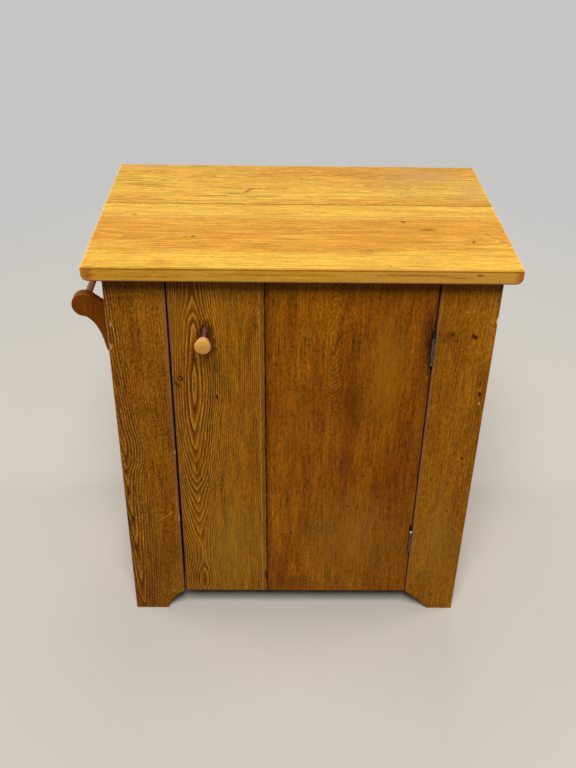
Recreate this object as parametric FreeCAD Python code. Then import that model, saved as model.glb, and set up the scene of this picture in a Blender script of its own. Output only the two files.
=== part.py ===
import FreeCAD, Part
import math
import os

# Dry sink cabinet: a plank case on cut feet, one plank door with a turn
# latch, a plank top and a towel rail on the left side. Millimetres, +X to
# the right, +Y towards the back, +Z up. The pieces are laid out from the
# case's front left corner at the floor, and saved about the middle of the
# whole footprint, so that the saved origin lies on the floor.

# ---- Case ----
case_width = 660.0
case_depth = 430.0
case_height = 774.5             # floor to the underside of the top
side_thickness = 19.0
stile_width = 101.6
stile_thickness = 20.0
board_ease = 1.2                # chamfer along the worn front edges
seat_gap = 0.1                  # slack round a board let into another

# ---- Feet ----
left_toe_width = 66.0
right_toe_width = 51.5
stile_knee_height = 49.5
left_foot_bow = 7.0             # how far each sawn curve bows off its chord
right_foot_bow = 2.5
side_toe_width = 62.0           # each side's two feet, measured along its base
side_foot_run = 34.0            # length that the side's sawn curve takes
side_foot_rise = 37.0
side_foot_bow = 6.0

# ---- Shelves, rails and cleats ----
shelf_thickness = 19.0
bottom_shelf_height = 44.0
middle_shelf_height = 385.0
shelf_housing = 6.0             # how deep a shelf end goes into a side
shelf_batten_room = 8.0         # between the door's battens and the middle shelf
rail_height = 70.0
rail_thickness = 19.0
cleat_height = 26.0
cleat_thickness = 22.0

# ---- Back boards ----
back_thickness = 12.0
back_housing = 10.0             # width of the rebate in each side
back_board_count = 4
back_lap = 8.0
back_board_gap = 0.8

# ---- Top ----
top_thickness = 26.5
top_overhang_left = 28.0
top_overhang_right = 24.0
top_overhang_front = 26.0
top_overhang_back = 10.0
top_end_round = 12.0            # under each end, seen from the front
top_face_round = 4.5            # round the front and back faces
top_upper_round = 2.0
top_front_board_width = 264.0
top_joint_gap = 0.3

# ---- Door ----
door_thickness = 19.0
door_gap_left_top = 3.0
door_gap_left_foot = 5.0        # the door has dropped a little on its hinges
door_gap_right_top = 3.4
door_gap_right_foot = 2.0
door_gap_top = 3.0
door_bottom_height = 51.0
narrow_board_width_top = 160.8
narrow_board_width_foot = 165.9
door_joint_gap = 0.6
batten_height = 70.0
batten_thickness = 22.0
batten_ease = 4.0
batten_inset_left = 12.0
batten_inset_right = 26.0
lower_batten_rise = 79.0
batten_latch_room = 6.0         # between the hanging turn bar and the upper batten

# ---- Hinges ----
hinge_length = 63.5
hinge_knuckles = 5
knuckle_gap = 0.3
barrel_radius = 3.2
pin_radius = 1.6
pin_fit = 0.02
pin_running_fit = 0.06
pin_button_radius = 3.0
pin_button_crown = 2.0          # radius of the button's flat top
pin_button_edge = 0.8           # height of its upright edge
pin_button_height = 2.4
pin_end_length = 1.2
leaf_thickness = 1.8
leaf_depth = 18.0
leaf_corner_radius = 1.5
barrel_proud = 1.5              # pin centre in front of the door's face
barrel_notch_room = 0.6
leaf_turning_room = 0.5
upper_hinge_drop = 103.0        # door's top edge to the upper hinge
lower_hinge_rise = 114.0        # door's bottom edge to the lower hinge
hinge_screw_count = 3
hinge_screw_spread = 46.0
hinge_screw_setback = 11.0      # pin centre to the screws

# ---- Knob and turn latch ----
knob_inset = 60.9               # door's left edge to the knob
knob_rail_drop = 32.0           # underside of the front rail to the knob
knob_reach = 58.5               # door's face to the knob's face
knob_radius = 14.0
knob_thickness = 21.0
knob_face_radius = 12.6
knob_face_dome = 1.6
knob_rim_depth = 3.6            # face to the widest part of the rolled rim
knob_rim_back_radius = 13.0
knob_rim_back_depth = 5.6
knob_waist_radius = 10.8        # foot of the hollow behind the rim
knob_waist_depth = 8.4
knob_waist_bow = 0.6
knob_back_radius = 9.6
knob_back_depth = 19.4
knob_back_bow = 0.7
knob_neck_radius = 4.6
knob_neck_bow = 0.4
spindle_radius = 3.2
spindle_ease = 0.5
spindle_fit = 0.02
spindle_running_fit = 0.08
spindle_in_knob = 12.0
spindle_end_length = 3.0
collar_radius = 5.6
collar_thickness = 2.6
collar_ease = 0.9
latch_running_gap = 0.2
washer_radius = 8.0
washer_thickness = 1.4
turn_bar_width = 22.0
turn_bar_tip_width = 16.0
turn_bar_thickness = 10.0
turn_bar_catch = 20.0           # how far the turned bar reaches behind the stile
nut_sides = 6
nut_flats = 11.0
nut_thickness = 5.0

# ---- Towel rail ----
towel_rail_drop = 60.2          # underside of the top to the rail's centre
towel_rail_radius = 6.0
towel_rail_fit = 0.1
towel_rail_seat = 12.0          # depth of the blind hole in each bracket
bracket_reach = 34.5            # case side to the rail's centre
bracket_lobe_radius = 21.0
bracket_thickness = 18.0
bracket_setback = 6.0           # case front, or back, to the bracket's outer face
bracket_waist_drop = 50.0       # rail centre down to the waist
bracket_waist_width = 12.5
bracket_tail_drop = 86.0
bracket_tail_width = 4.0
bracket_end_drop = 91.0
bracket_lobe_turn = 89.0        # degrees below level where the cove meets the lobe
bracket_cove_drop = 33.5        # rail centre down to the middle of the cove
bracket_cove_width = 21.0
bracket_ease = 1.0

# ---- Screws and nails ----
screw_hole_slack = 0.1
hinge_screw_head = 3.2
hinge_screw_shank = 1.7
hinge_screw_length = 15.0
wood_screw_head = 4.4
wood_screw_shank = 2.2
wood_screw_length = 34.0
top_screw_length = 40.0
screw_slot_width = 1.0
screw_slot_depth = 0.9
screw_tip_length = 5.0
bracket_screw_length = 22.0
bracket_screw_seat = 5.5        # wood left under a bracket screw's head
bracket_screw_drop = 14.0       # lobe's lowest point to the upper screw
bracket_screw_pitch = 24.0
batten_screw_inset = 22.0
batten_screw_count = 5
top_screw_inset = 45.0
top_screw_count = 3
cleat_screw_inset = 85.0
cleat_screw_count = 2
nail_length = 36.0
back_nail_length = 28.0
nail_head_width = 4.4
nail_width = 3.4
nail_tip_width = 1.4
nail_plate = 2.0                # thickness of the plate that the nails are cut from
nail_head_height = 1.4
nail_set = 0.8                  # how far a head is punched below the surface
nail_edge_inset = 9.5
stile_nail_count = 5
stile_nail_end = 90.0           # end of a stile to its first edge nail
rail_nail_inset = 53.2          # case side to the nail that holds the rail
rail_nail_rise = 6.5            # rail's lower edge to that nail
shelf_nail_inset = 79.6         # case side to the nail that holds the bottom shelf
shelf_nail_rise = 4.5           # shelf's underside to that nail
side_nail_count = 3
side_nail_end = 60.0
back_nail_inset = 40.0
rail_side_nail_spread = 36.0

overcut = 5.0                   # how far a cutting shape runs past what it cuts
edge_tolerance = 0.01

# ---- Places that follow from the sizes ----
side_back = case_depth
back_front = case_depth - back_thickness
inner_left = side_thickness
inner_right = case_width - side_thickness
top_surface = case_height + top_thickness
top_left = -top_overhang_left
top_right = case_width + top_overhang_right
top_front = -top_overhang_front
top_back = case_depth + top_overhang_back
top_joint = top_front + top_front_board_width

rail_bottom = case_height - rail_height
front_rail_back = stile_thickness + rail_thickness
rear_rail_front = back_front - rail_thickness

right_stile_left = case_width - stile_width
door_left = stile_width + door_gap_left_top
door_left_foot = stile_width + door_gap_left_foot
door_joint = door_left + narrow_board_width_top
door_joint_foot = door_left_foot + narrow_board_width_foot
door_right = right_stile_left - door_gap_right_foot
door_right_top = right_stile_left - door_gap_right_top
door_top = case_height - door_gap_top
middle_shelf_front = door_thickness + batten_thickness + shelf_batten_room
shelf_seats = (                 # each shelf's front edge and underside
    (stile_thickness, bottom_shelf_height),
    (middle_shelf_front, middle_shelf_height),
)

hinge_x = right_stile_left - barrel_radius
hinge_y = -barrel_proud
upper_hinge_middle = door_top - upper_hinge_drop - hinge_length / 2
lower_hinge_middle = door_bottom_height + lower_hinge_rise + hinge_length / 2

knob_x = door_left + knob_inset
knob_z = rail_bottom - knob_rail_drop
turn_arm = knob_x - stile_width + turn_bar_catch
washer_front = door_thickness + latch_running_gap
turn_bar_front = washer_front + washer_thickness
turn_bar_back = turn_bar_front + turn_bar_thickness

batten_left = door_left + batten_inset_left
batten_right = door_right - batten_inset_right
batten_back = door_thickness + batten_thickness
lower_batten_bottom = door_bottom_height + lower_batten_rise
upper_batten_bottom = knob_z - turn_arm - batten_latch_room - batten_height

towel_rail_x = -bracket_reach
towel_rail_z = case_height - towel_rail_drop
front_bracket_front = bracket_setback
rear_bracket_front = case_depth - bracket_setback - bracket_thickness

footprint_left = -bracket_reach - bracket_lobe_radius
footprint_middle = FreeCAD.Vector(
    (footprint_left + top_right) / 2,
    (-knob_reach + top_back) / 2,
    0,
)

LEFT = FreeCAD.Vector(-1, 0, 0)
RIGHT = FreeCAD.Vector(1, 0, 0)
FORWARD = FreeCAD.Vector(0, -1, 0)
BACKWARD = FreeCAD.Vector(0, 1, 0)
UP = FreeCAD.Vector(0, 0, 1)


# ---- Shape helpers ----

def point(x, y, z):
    """A point or direction."""
    return FreeCAD.Vector(x, y, z)


def block(x_span, y_span, z_span):
    """A rectangular solid between the low and high value on each axis."""
    size = [span[1] - span[0] for span in (x_span, y_span, z_span)]
    return Part.makeBox(*size, point(x_span[0], y_span[0], z_span[0]))


def line(start, end):
    """A straight edge."""
    return Part.makeLine(start, end)


def bowed(start, end, bow, towards):
    """An arc whose middle stands off its chord by bow, on the side of a direction."""
    chord = end - start
    away = towards - chord * (towards.dot(chord) / chord.dot(chord))
    away.normalize()
    middle = (start + end) * 0.5 + away * bow
    return Part.Arc(start, middle, end).toShape()


def outline_solid(edges, along):
    """The solid that a closed outline sweeps along a direction."""
    return Part.Face(Part.Wire(edges)).extrude(along)


def polygon_solid(corners, along):
    """The solid that a straight-sided outline sweeps along a direction."""
    closed = list(corners) + [corners[0]]
    return Part.Face(Part.makePolygon(closed)).extrude(along)


def turned(corners, start, axis):
    """A solid of revolution from (radius, distance along the axis) corners."""
    profile = [point(radius, 0, along) for radius, along in corners]
    face = Part.Face(Part.makePolygon(profile + [profile[0]]))
    solid = face.revolve(point(0, 0, 0), UP, 360)
    return aimed(solid, start, axis)


def aimed(shape, at, way):
    """A copy of a shape made along +Z from the origin, set at a place and direction."""
    placed = shape.copy()
    placed.Placement = FreeCAD.Placement(at, FreeCAD.Rotation(UP, way))
    return placed


def rod(radius, start, end):
    """A plain cylinder between two points."""
    way = end - start
    return Part.makeCylinder(radius, way.Length, start, way)


def eased(solid, size, wanted):
    """The solid with a chamfer on each edge whose box passes the test."""
    edges = [edge for edge in solid.Edges if wanted(edge.BoundBox)]
    return solid.makeChamfer(size, edges)


def rounded(solid, radius, wanted):
    """The solid with a fillet on each edge whose box passes the test."""
    edges = [edge for edge in solid.Edges if wanted(edge.BoundBox)]
    return solid.makeFillet(radius, edges)


def is_at_front(box, front):
    """True for every edge of a front face."""
    return box.YMax < front + edge_tolerance


def is_stile_side(box):
    """True for the long upright edges of a stile's front face."""
    return is_at_front(box, 0) and box.ZLength > stile_width


def spread(first, last, count):
    """Evenly spaced values from the first to the last."""
    if count == 1:
        return [(first + last) / 2]
    step = (last - first) / (count - 1)
    return [first + step * number for number in range(count)]


def bored(solid, cutters):
    """The solid with a group of cutting shapes taken out of it."""
    return solid.cut(Part.makeCompound(cutters))


# ---- Fasteners: made head first at the origin, pointing along +Z ----

def countersunk_screw(head, shank, length):
    """A slotted countersunk wood screw."""
    sink = head - shank
    corners = [(0, 0), (head, 0), (shank, sink), (shank, length - screw_tip_length), (0, length)]
    body = turned(corners, point(0, 0, 0), UP)
    half_slot = screw_slot_width / 2
    slot = block((-head, head), (-half_slot, half_slot), (-overcut, screw_slot_depth))
    return body.cut(slot)


def screw_hole(head, shank, length):
    """The countersunk, flat-bottomed hole for such a screw."""
    wide = head + screw_hole_slack
    narrow = shank + screw_hole_slack
    deep = length + screw_hole_slack
    corners = [(0, 0), (wide, 0), (narrow, wide - narrow), (narrow, deep), (0, deep)]
    return turned(corners, point(0, 0, 0), UP)


def nail_shape(length, slack=0.0, above=0.0):
    """A cut nail, tapered one way only; with slack and room above it, its hole."""
    head = nail_head_width / 2 + slack
    neck = nail_width / 2 + slack
    tip = nail_tip_width / 2 + slack
    top = -above
    shoulder = nail_head_height + slack
    end = length + slack
    half_plate = nail_plate / 2 + slack
    right = [(head, top), (head, shoulder), (neck, shoulder), (tip, end)]
    left = [(-across, along) for across, along in reversed(right)]
    corners = [point(across, -half_plate, along) for across, along in right + left]
    return polygon_solid(corners, point(0, 2 * half_plate, 0))


def nails_at(places, way, length=nail_length):
    """Cut nails driven at surface points, their heads punched just below it."""
    nail = nail_shape(length)
    return [aimed(nail, at + way * nail_set, way) for at in places]


def nail_holes(places, way, length=nail_length):
    """The holes that those nails leave."""
    hole = nail_shape(length, screw_hole_slack, nail_set + overcut)
    return [aimed(hole, at + way * nail_set, way) for at in places]


def screws_at(places, way, head, shank, length):
    """Screws set at the centres of their heads."""
    screw = countersunk_screw(head, shank, length)
    return [aimed(screw, at, way) for at in places]


def screw_holes(places, way, head, shank, length):
    """The holes for those screws."""
    hole = screw_hole(head, shank, length)
    return [aimed(hole, at, way) for at in places]


# ---- Where the fasteners go ----

def stile_nail_places(side, inward):
    """Nail places up a stile's outer edge, and where it crosses the rail and the bottom shelf."""
    heights = spread(stile_nail_end, case_height - stile_nail_end, stile_nail_count)
    places = [point(side + inward * nail_edge_inset, 0, height) for height in heights]
    places.append(point(side + inward * rail_nail_inset, 0, rail_bottom + rail_nail_rise))
    places.append(point(side + inward * shelf_nail_inset, 0, bottom_shelf_height + shelf_nail_rise))
    return places


def side_nail_places(side):
    """Nail places in a side, into the ends of the shelves and rails."""
    places = []
    for front, under in shelf_seats:
        depths = spread(front + side_nail_end, back_front - side_nail_end, side_nail_count)
        places += [point(side, depth, under + shelf_thickness / 2) for depth in depths]
    middle_below_cleat = (rail_bottom + case_height - cleat_height) / 2
    half_spread = rail_side_nail_spread / 2
    for depth in (stile_thickness + rail_thickness / 2, back_front - rail_thickness / 2):
        for height in (middle_below_cleat - half_spread, middle_below_cleat + half_spread):
            places.append(point(side, depth, height))
    return places


def back_nail_places():
    """Nail places in the back boards, into the rear rail and both shelves."""
    places = []
    width = (case_width - 2 * (side_thickness - back_housing)) / back_board_count
    first = side_thickness - back_housing
    heights = (
        bottom_shelf_height + shelf_thickness / 2,
        middle_shelf_height + shelf_thickness / 2,
        rail_bottom + rail_height / 2,
    )
    for number in range(back_board_count):
        left = first + number * width + back_nail_inset
        right = first + (number + 1) * width - back_nail_inset
        for height in heights:
            places += [point(left, side_back, height), point(right, side_back, height)]
    return places


def top_screw_places(side_x):
    """Screw places along one top cleat, up into the top."""
    first = front_rail_back + top_screw_inset
    last = rear_rail_front - top_screw_inset
    depths = spread(first, last, top_screw_count)
    return [point(side_x, depth, case_height - cleat_height) for depth in depths]


def cleat_screw_places(face_x):
    """Screw places along one top cleat, out into the side."""
    first = front_rail_back + cleat_screw_inset
    last = rear_rail_front - cleat_screw_inset
    depths = spread(first, last, cleat_screw_count)
    return [point(face_x, depth, case_height - cleat_height / 2) for depth in depths]


def batten_screw_places(bottom):
    """Screw places along one door batten, into the door's boards."""
    across = spread(batten_left + batten_screw_inset, batten_right - batten_screw_inset, batten_screw_count)
    return [point(x, batten_back, bottom + batten_height / 2) for x in across]


left_stile_nails = stile_nail_places(0, 1)
right_stile_nails = stile_nail_places(case_width, -1)
left_top_screws = top_screw_places(inner_left + cleat_thickness / 2)
right_top_screws = top_screw_places(inner_right - cleat_thickness / 2)
left_cleat_screws = cleat_screw_places(inner_left + cleat_thickness)
right_cleat_screws = cleat_screw_places(inner_right - cleat_thickness)
batten_screws = batten_screw_places(lower_batten_bottom) + batten_screw_places(upper_batten_bottom)


# ---- Case boards ----

def foot_cut(toe, knee, rise, bow):
    """What is sawn off a stile between its toe and the knee at its inner edge."""
    inward = RIGHT if knee > toe else LEFT
    low = point(toe, -overcut, 0)
    high = point(knee, -overcut, rise)
    beyond = inward * overcut
    below = point(0, 0, -overcut)
    edges = [
        bowed(low, high, bow, UP - inward),
        line(high, high + beyond),
        line(high + beyond, point(knee, -overcut, 0) + beyond + below),
        line(point(knee, -overcut, 0) + beyond + below, low + below),
        line(low + below, low),
    ]
    return outline_solid(edges, point(0, stile_thickness + 2 * overcut, 0))


def stile(left, right, toe, knee, bow, nail_places):
    """One front stile with its sawn foot, eased edges and nail holes."""
    board = block((left, right), (0, stile_thickness), (0, case_height))
    board = eased(board, board_ease, is_stile_side)
    board = board.cut(foot_cut(toe, knee, stile_knee_height, bow))
    return bored(board, nail_holes(nail_places, BACKWARD))


def left_stile():
    """The left stile, cut by the front bracket's screws as well."""
    board = stile(0, stile_width, left_toe_width, stile_width, left_foot_bow, left_stile_nails)
    return bored(board, bracket_screw_holes(front_bracket_front))


def right_stile():
    """The right stile, drilled for the hinge screws in its inner edge."""
    board = stile(
        right_stile_left,
        case_width,
        case_width - right_toe_width,
        right_stile_left,
        right_foot_bow,
        right_stile_nails,
    )
    holes = []
    for middle in (upper_hinge_middle, lower_hinge_middle):
        holes += frame_leaf_screw_holes(middle)
    return bored(board, holes)


def side_arch(x_span):
    """What is sawn out of a side's base to leave its two feet."""
    front_toe = stile_thickness + side_toe_width
    back_toe = case_depth - side_toe_width
    start = x_span[0] - overcut
    low_front = point(start, front_toe, 0)
    high_front = point(start, front_toe + side_foot_run, side_foot_rise)
    high_back = point(start, back_toe - side_foot_run, side_foot_rise)
    low_back = point(start, back_toe, 0)
    below = point(0, 0, -overcut)
    edges = [
        bowed(low_front, high_front, side_foot_bow, UP + FORWARD),
        line(high_front, high_back),
        bowed(high_back, low_back, side_foot_bow, UP + BACKWARD),
        line(low_back, low_back + below),
        line(low_back + below, low_front + below),
        line(low_front + below, low_front),
    ]
    return outline_solid(edges, point(x_span[1] - x_span[0] + 2 * overcut, 0, 0))


def side_panel(x_span, inner_face, inward):
    """One side: sawn feet, shelf housings and a rebate for the back boards."""
    board = block(x_span, (stile_thickness, side_back), (0, case_height))
    housing_end = inner_face - inward * shelf_housing
    housing_start = inner_face + inward * overcut
    housing_x = sorted((housing_end, housing_start))
    cutters = [side_arch(x_span)]
    for front, under in shelf_seats:
        heights = (under - seat_gap, under + shelf_thickness + seat_gap)
        cutters.append(block(housing_x, (front, side_back + overcut), heights))
    rebate_x = sorted((inner_face - inward * back_housing, housing_start))
    heights = (bottom_shelf_height, case_height + overcut)
    cutters.append(block(rebate_x, (back_front, side_back + overcut), heights))
    for cutter in cutters:
        board = board.cut(cutter)
    return board


def left_side_panel():
    """The left side, with the holes for its nails, cleat screws and bracket screws."""
    board = side_panel((0, inner_left), inner_left, 1)
    holes = nail_holes(side_nail_places(0), RIGHT)
    holes += nail_holes(left_stile_nails, BACKWARD)
    holes += cleat_screw_holes(left_cleat_screws, LEFT)
    holes += bracket_screw_holes(rear_bracket_front)
    holes += bracket_screw_holes(front_bracket_front)
    return bored(board, holes)


def right_side_panel():
    """The right side, with the holes for its nails and cleat screws."""
    board = side_panel((inner_right, case_width), inner_right, -1)
    holes = nail_holes(side_nail_places(case_width), LEFT)
    holes += nail_holes(right_stile_nails, BACKWARD)
    holes += cleat_screw_holes(right_cleat_screws, RIGHT)
    return bored(board, holes)


def every_case_nail_hole():
    """The holes of all nails that are driven into shelves and rails."""
    holes = nail_holes(side_nail_places(0), RIGHT)
    holes += nail_holes(side_nail_places(case_width), LEFT)
    holes += nail_holes(left_stile_nails + right_stile_nails, BACKWARD)
    holes += nail_holes(back_nail_places(), FORWARD, back_nail_length)
    return holes


def shelf(front, under):
    """One shelf board, its ends housed in the sides."""
    ends = (
        inner_left - shelf_housing + seat_gap,
        inner_right + shelf_housing - seat_gap,
    )
    board = block(ends, (front, back_front), (under, under + shelf_thickness))
    board = eased(board, board_ease, lambda box: is_at_front(box, front) and box.XLength > case_width / 2)
    return bored(board, every_case_nail_hole())


def rail(y_span):
    """One board across the case under the top, between the sides."""
    board = block((inner_left, inner_right), y_span, (rail_bottom, case_height))
    return bored(board, every_case_nail_hole())


def top_cleat(x_span, top_places, side_places, outward):
    """One cleat along a side, which holds the top down."""
    heights = (case_height - cleat_height, case_height)
    board = block(x_span, (front_rail_back, rear_rail_front), heights)
    holes = top_screw_holes(top_places)
    holes += cleat_screw_holes(side_places, outward)
    return bored(board, holes)


def back_board(number):
    """One back board, half lapped over its neighbours."""
    first = side_thickness - back_housing + seat_gap
    last = case_width - first
    pitch = (last - first) / back_board_count
    left = first + number * pitch
    right = left + pitch
    is_first = number == 0
    is_last = number == back_board_count - 1
    half = back_front + back_thickness / 2
    rear_left = left if is_first else left + back_board_gap - back_lap
    front_left = left if is_first else left + back_board_gap
    rear_right = right if is_last else right - back_lap
    corners = [
        (front_left, back_front),
        (right, back_front),
        (right, half),
        (rear_right, half),
        (rear_right, side_back),
        (rear_left, side_back),
        (rear_left, half),
        (front_left, half),
    ]
    kept = []
    for corner in corners:
        if corner not in kept:
            kept.append(corner)
    floor_line = [point(x, y, bottom_shelf_height) for x, y in kept]
    board = polygon_solid(floor_line, point(0, 0, case_height - bottom_shelf_height))
    return bored(board, nail_holes(back_nail_places(), FORWARD, back_nail_length))


# ---- Top ----

def whole_top():
    """The top before it is parted into its boards: ends rounded under and worn edges."""
    slab = block((top_left, top_right), (top_front, top_back), (case_height, top_surface))
    slab = rounded(slab, top_end_round, is_under_end)
    slab = rounded(slab, top_face_round, is_face_rim)
    return rounded(slab, top_upper_round, lambda box: box.ZMin > top_surface - edge_tolerance)


def is_under_end(box):
    """True for the two lower edges of the top that run from front to back."""
    return box.ZMax < case_height + edge_tolerance and box.XLength < edge_tolerance


def is_face_rim(box):
    """True for the edges round the top's front and back faces, but not the upper ones."""
    on_face = box.YMax < top_front + edge_tolerance or box.YMin > top_back - edge_tolerance
    return on_face and box.ZMin < top_surface - edge_tolerance


def top_board(y_span):
    """One board of the top, with the holes of the screws that hold it."""
    reach = block((top_left - overcut, top_right + overcut), y_span, (0, top_surface + overcut))
    board = whole_top().common(reach)
    return bored(board, top_screw_holes(left_top_screws + right_top_screws))


def top_screw_holes(places):
    """Holes up through a cleat into the top."""
    return screw_holes(places, UP, wood_screw_head, wood_screw_shank, top_screw_length)


def cleat_screw_holes(places, outward):
    """Holes through a cleat into a side."""
    return screw_holes(places, outward, wood_screw_head, wood_screw_shank, wood_screw_length)


# ---- Door ----

def door_board(bottom_left, bottom_right, top_left_corner, top_right_corner):
    """One door board between its four corners, with worn front edges."""
    corners = [
        point(bottom_left, 0, door_bottom_height),
        point(bottom_right, 0, door_bottom_height),
        point(top_right_corner, 0, door_top),
        point(top_left_corner, 0, door_top),
    ]
    board = polygon_solid(corners, point(0, door_thickness, 0))
    board = eased(board, board_ease, lambda box: is_at_front(box, 0))
    return bored(board, batten_screw_holes())


def narrow_board():
    """The door's left board, bored for the spindle."""
    board = door_board(door_left_foot, door_joint_foot, door_left, door_joint)
    start = point(knob_x, -overcut, knob_z)
    end = point(knob_x, door_thickness + overcut, knob_z)
    return board.cut(rod(spindle_radius + spindle_running_fit, start, end))


def wide_board():
    """The door's right board, let in at its edge for the two hinges."""
    foot = door_joint_foot + door_joint_gap
    board = door_board(foot, door_right, door_joint + door_joint_gap, door_right_top)
    for middle in (upper_hinge_middle, lower_hinge_middle):
        board = board.cut(door_leaf_recess(middle))
        board = bored(board, door_leaf_screw_holes(middle))
    return board


def batten(bottom):
    """One batten across the inside of the door."""
    heights = (bottom, bottom + batten_height)
    board = block((batten_left, batten_right), (door_thickness, batten_back), heights)
    board = eased(board, batten_ease, lambda box: box.YMin > batten_back - edge_tolerance)
    return bored(board, batten_screw_holes())


def batten_screw_holes():
    """Holes through the battens into the door's boards."""
    return screw_holes(batten_screws, FORWARD, wood_screw_head, wood_screw_shank, wood_screw_length)


# ---- Hinges ----

def knuckle_spans(middle, of_frame):
    """The height of each knuckle that one leaf owns; the frame has the outer ones."""
    pitch = hinge_length / hinge_knuckles
    start = middle - hinge_length / 2
    spans = []
    for number in range(hinge_knuckles):
        if (number % 2 == 0) == of_frame:
            low = start + number * pitch + (knuckle_gap / 2 if number > 0 else 0)
            ends_here = number == hinge_knuckles - 1
            high = start + (number + 1) * pitch - (0 if ends_here else knuckle_gap / 2)
            spans.append((low, high))
    return spans


def leaf_plate_x(of_frame):
    """The left and right face of a leaf's plate."""
    if of_frame:
        return (hinge_x + barrel_radius - leaf_thickness, hinge_x + barrel_radius)
    return (hinge_x - barrel_radius, hinge_x - barrel_radius + leaf_thickness)


def hinge_leaf(middle, of_frame):
    """One leaf: plate, rolled knuckles, pin bore and countersunk holes."""
    x_span = leaf_plate_x(of_frame)
    low = middle - hinge_length / 2
    high = middle + hinge_length / 2
    plate = block(x_span, (hinge_y, hinge_y + leaf_depth), (low, high))
    behind = hinge_y + leaf_depth - edge_tolerance
    plate = rounded(plate, leaf_corner_radius, lambda box: box.YMin > behind and box.XLength > 0)
    half_gap = knuckle_gap / 2
    cleared = barrel_radius + leaf_turning_room
    for bottom, top in knuckle_spans(middle, not of_frame):
        room = block(
            (x_span[0] - overcut, x_span[1] + overcut),
            (hinge_y - overcut, hinge_y + cleared),
            (bottom - half_gap, top + half_gap),
        )
        plate = plate.cut(room)
    leaf = plate
    for bottom, top in knuckle_spans(middle, of_frame):
        leaf = leaf.fuse(rod(barrel_radius, point(hinge_x, hinge_y, bottom), point(hinge_x, hinge_y, top)))
    fit = pin_fit if of_frame else pin_running_fit
    bore = rod(
        pin_radius + fit,
        point(hinge_x, hinge_y, low - overcut),
        point(hinge_x, hinge_y, high + overcut),
    )
    holes = frame_leaf_screw_holes(middle) if of_frame else door_leaf_screw_holes(middle)
    return bored(leaf.cut(bore), holes).removeSplitter()


def hinge_pin(middle):
    """A hinge pin with a button head above the barrel and a burred end below."""
    length = pin_end_length + hinge_length
    corners = [
        (0, 0),
        (pin_radius, 0),
        (pin_radius, length),
        (pin_button_radius, length),
        (pin_button_radius, length + pin_button_edge),
        (pin_button_crown, length + pin_button_height),
        (0, length + pin_button_height),
    ]
    foot = middle - hinge_length / 2 - pin_end_length
    return turned(corners, point(hinge_x, hinge_y, foot), UP)


def hinge_screw_places(middle, of_frame):
    """Centres of one leaf's screw heads, flush with the face of its plate."""
    face = leaf_plate_x(of_frame)[0] if of_frame else leaf_plate_x(of_frame)[1]
    half = hinge_screw_spread / 2
    heights = spread(middle - half, middle + half, hinge_screw_count)
    return [point(face, hinge_y + hinge_screw_setback, height) for height in heights]


def frame_leaf_screw_holes(middle):
    """Holes through the frame leaf into the stile."""
    places = hinge_screw_places(middle, True)
    return screw_holes(places, RIGHT, hinge_screw_head, hinge_screw_shank, hinge_screw_length)


def door_leaf_screw_holes(middle):
    """Holes through the door leaf into the door's edge."""
    places = hinge_screw_places(middle, False)
    return screw_holes(places, LEFT, hinge_screw_head, hinge_screw_shank, hinge_screw_length)


def hinge_screws(middle, of_frame):
    """The screws of one leaf."""
    way = RIGHT if of_frame else LEFT
    places = hinge_screw_places(middle, of_frame)
    return screws_at(places, way, hinge_screw_head, hinge_screw_shank, hinge_screw_length)


def door_leaf_recess(middle):
    """What is cut from the door's edge for one hinge: leaf bed and barrel notch."""
    half = hinge_length / 2 + seat_gap
    heights = (middle - half, middle + half)
    bed_left = leaf_plate_x(False)[0]
    bed = block(
        (bed_left, door_right + overcut),
        (-overcut, hinge_y + leaf_depth + seat_gap),
        heights,
    )
    below = middle - hinge_length / 2 - pin_end_length - barrel_notch_room
    above = middle + hinge_length / 2 + pin_button_height + barrel_notch_room
    notch = rod(
        barrel_radius + barrel_notch_room,
        point(hinge_x, hinge_y, below),
        point(hinge_x, hinge_y, above),
    )
    return bed.fuse(notch)


# ---- Knob and turn latch ----

def knob():
    """The turned knob: domed face, rolled rim, a hollow behind it and a long round back."""
    face = -knob_reach
    back = face + knob_thickness

    def at(radius, depth):
        """A profile point, by radius and distance behind the face."""
        return point(knob_x, face + depth, knob_z + radius)

    dome_radius = (knob_face_radius ** 2 + knob_face_dome ** 2) / (2 * knob_face_dome)
    half_turn = math.asin(knob_face_radius / dome_radius) / 2
    dome_middle = at(dome_radius * math.sin(half_turn), dome_radius * (1 - math.cos(half_turn)))
    face_edge = at(knob_face_radius, knob_face_dome)
    rim_back = at(knob_rim_back_radius, knob_rim_back_depth)
    waist = at(knob_waist_radius, knob_waist_depth)
    shoulder = at(knob_back_radius, knob_back_depth)
    neck = at(knob_neck_radius, knob_thickness)
    edges = [
        Part.Arc(at(0, 0), dome_middle, face_edge).toShape(),
        Part.Arc(face_edge, at(knob_radius, knob_rim_depth), rim_back).toShape(),
        bowed(rim_back, waist, knob_waist_bow, FORWARD - UP),
        bowed(waist, shoulder, knob_back_bow, UP),
        bowed(shoulder, neck, knob_neck_bow, BACKWARD + UP),
        line(neck, at(0, knob_thickness)),
        line(at(0, knob_thickness), at(0, 0)),
    ]
    body = Part.Face(Part.Wire(edges)).revolve(point(knob_x, 0, knob_z), BACKWARD, 360)
    start = point(knob_x, back - spindle_in_knob, knob_z)
    end = point(knob_x, back + overcut, knob_z)
    return body.cut(rod(spindle_radius + spindle_fit, start, end))


def spindle():
    """The rod through the door that carries the knob and the turn bar."""
    front = -knob_reach + knob_thickness - spindle_in_knob + seat_gap
    end = turn_bar_back + nut_thickness + spindle_end_length
    shaft = rod(spindle_radius, point(knob_x, front, knob_z), point(knob_x, end, knob_z))
    return eased(shaft, spindle_ease, lambda box: box.YLength < edge_tolerance)


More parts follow.
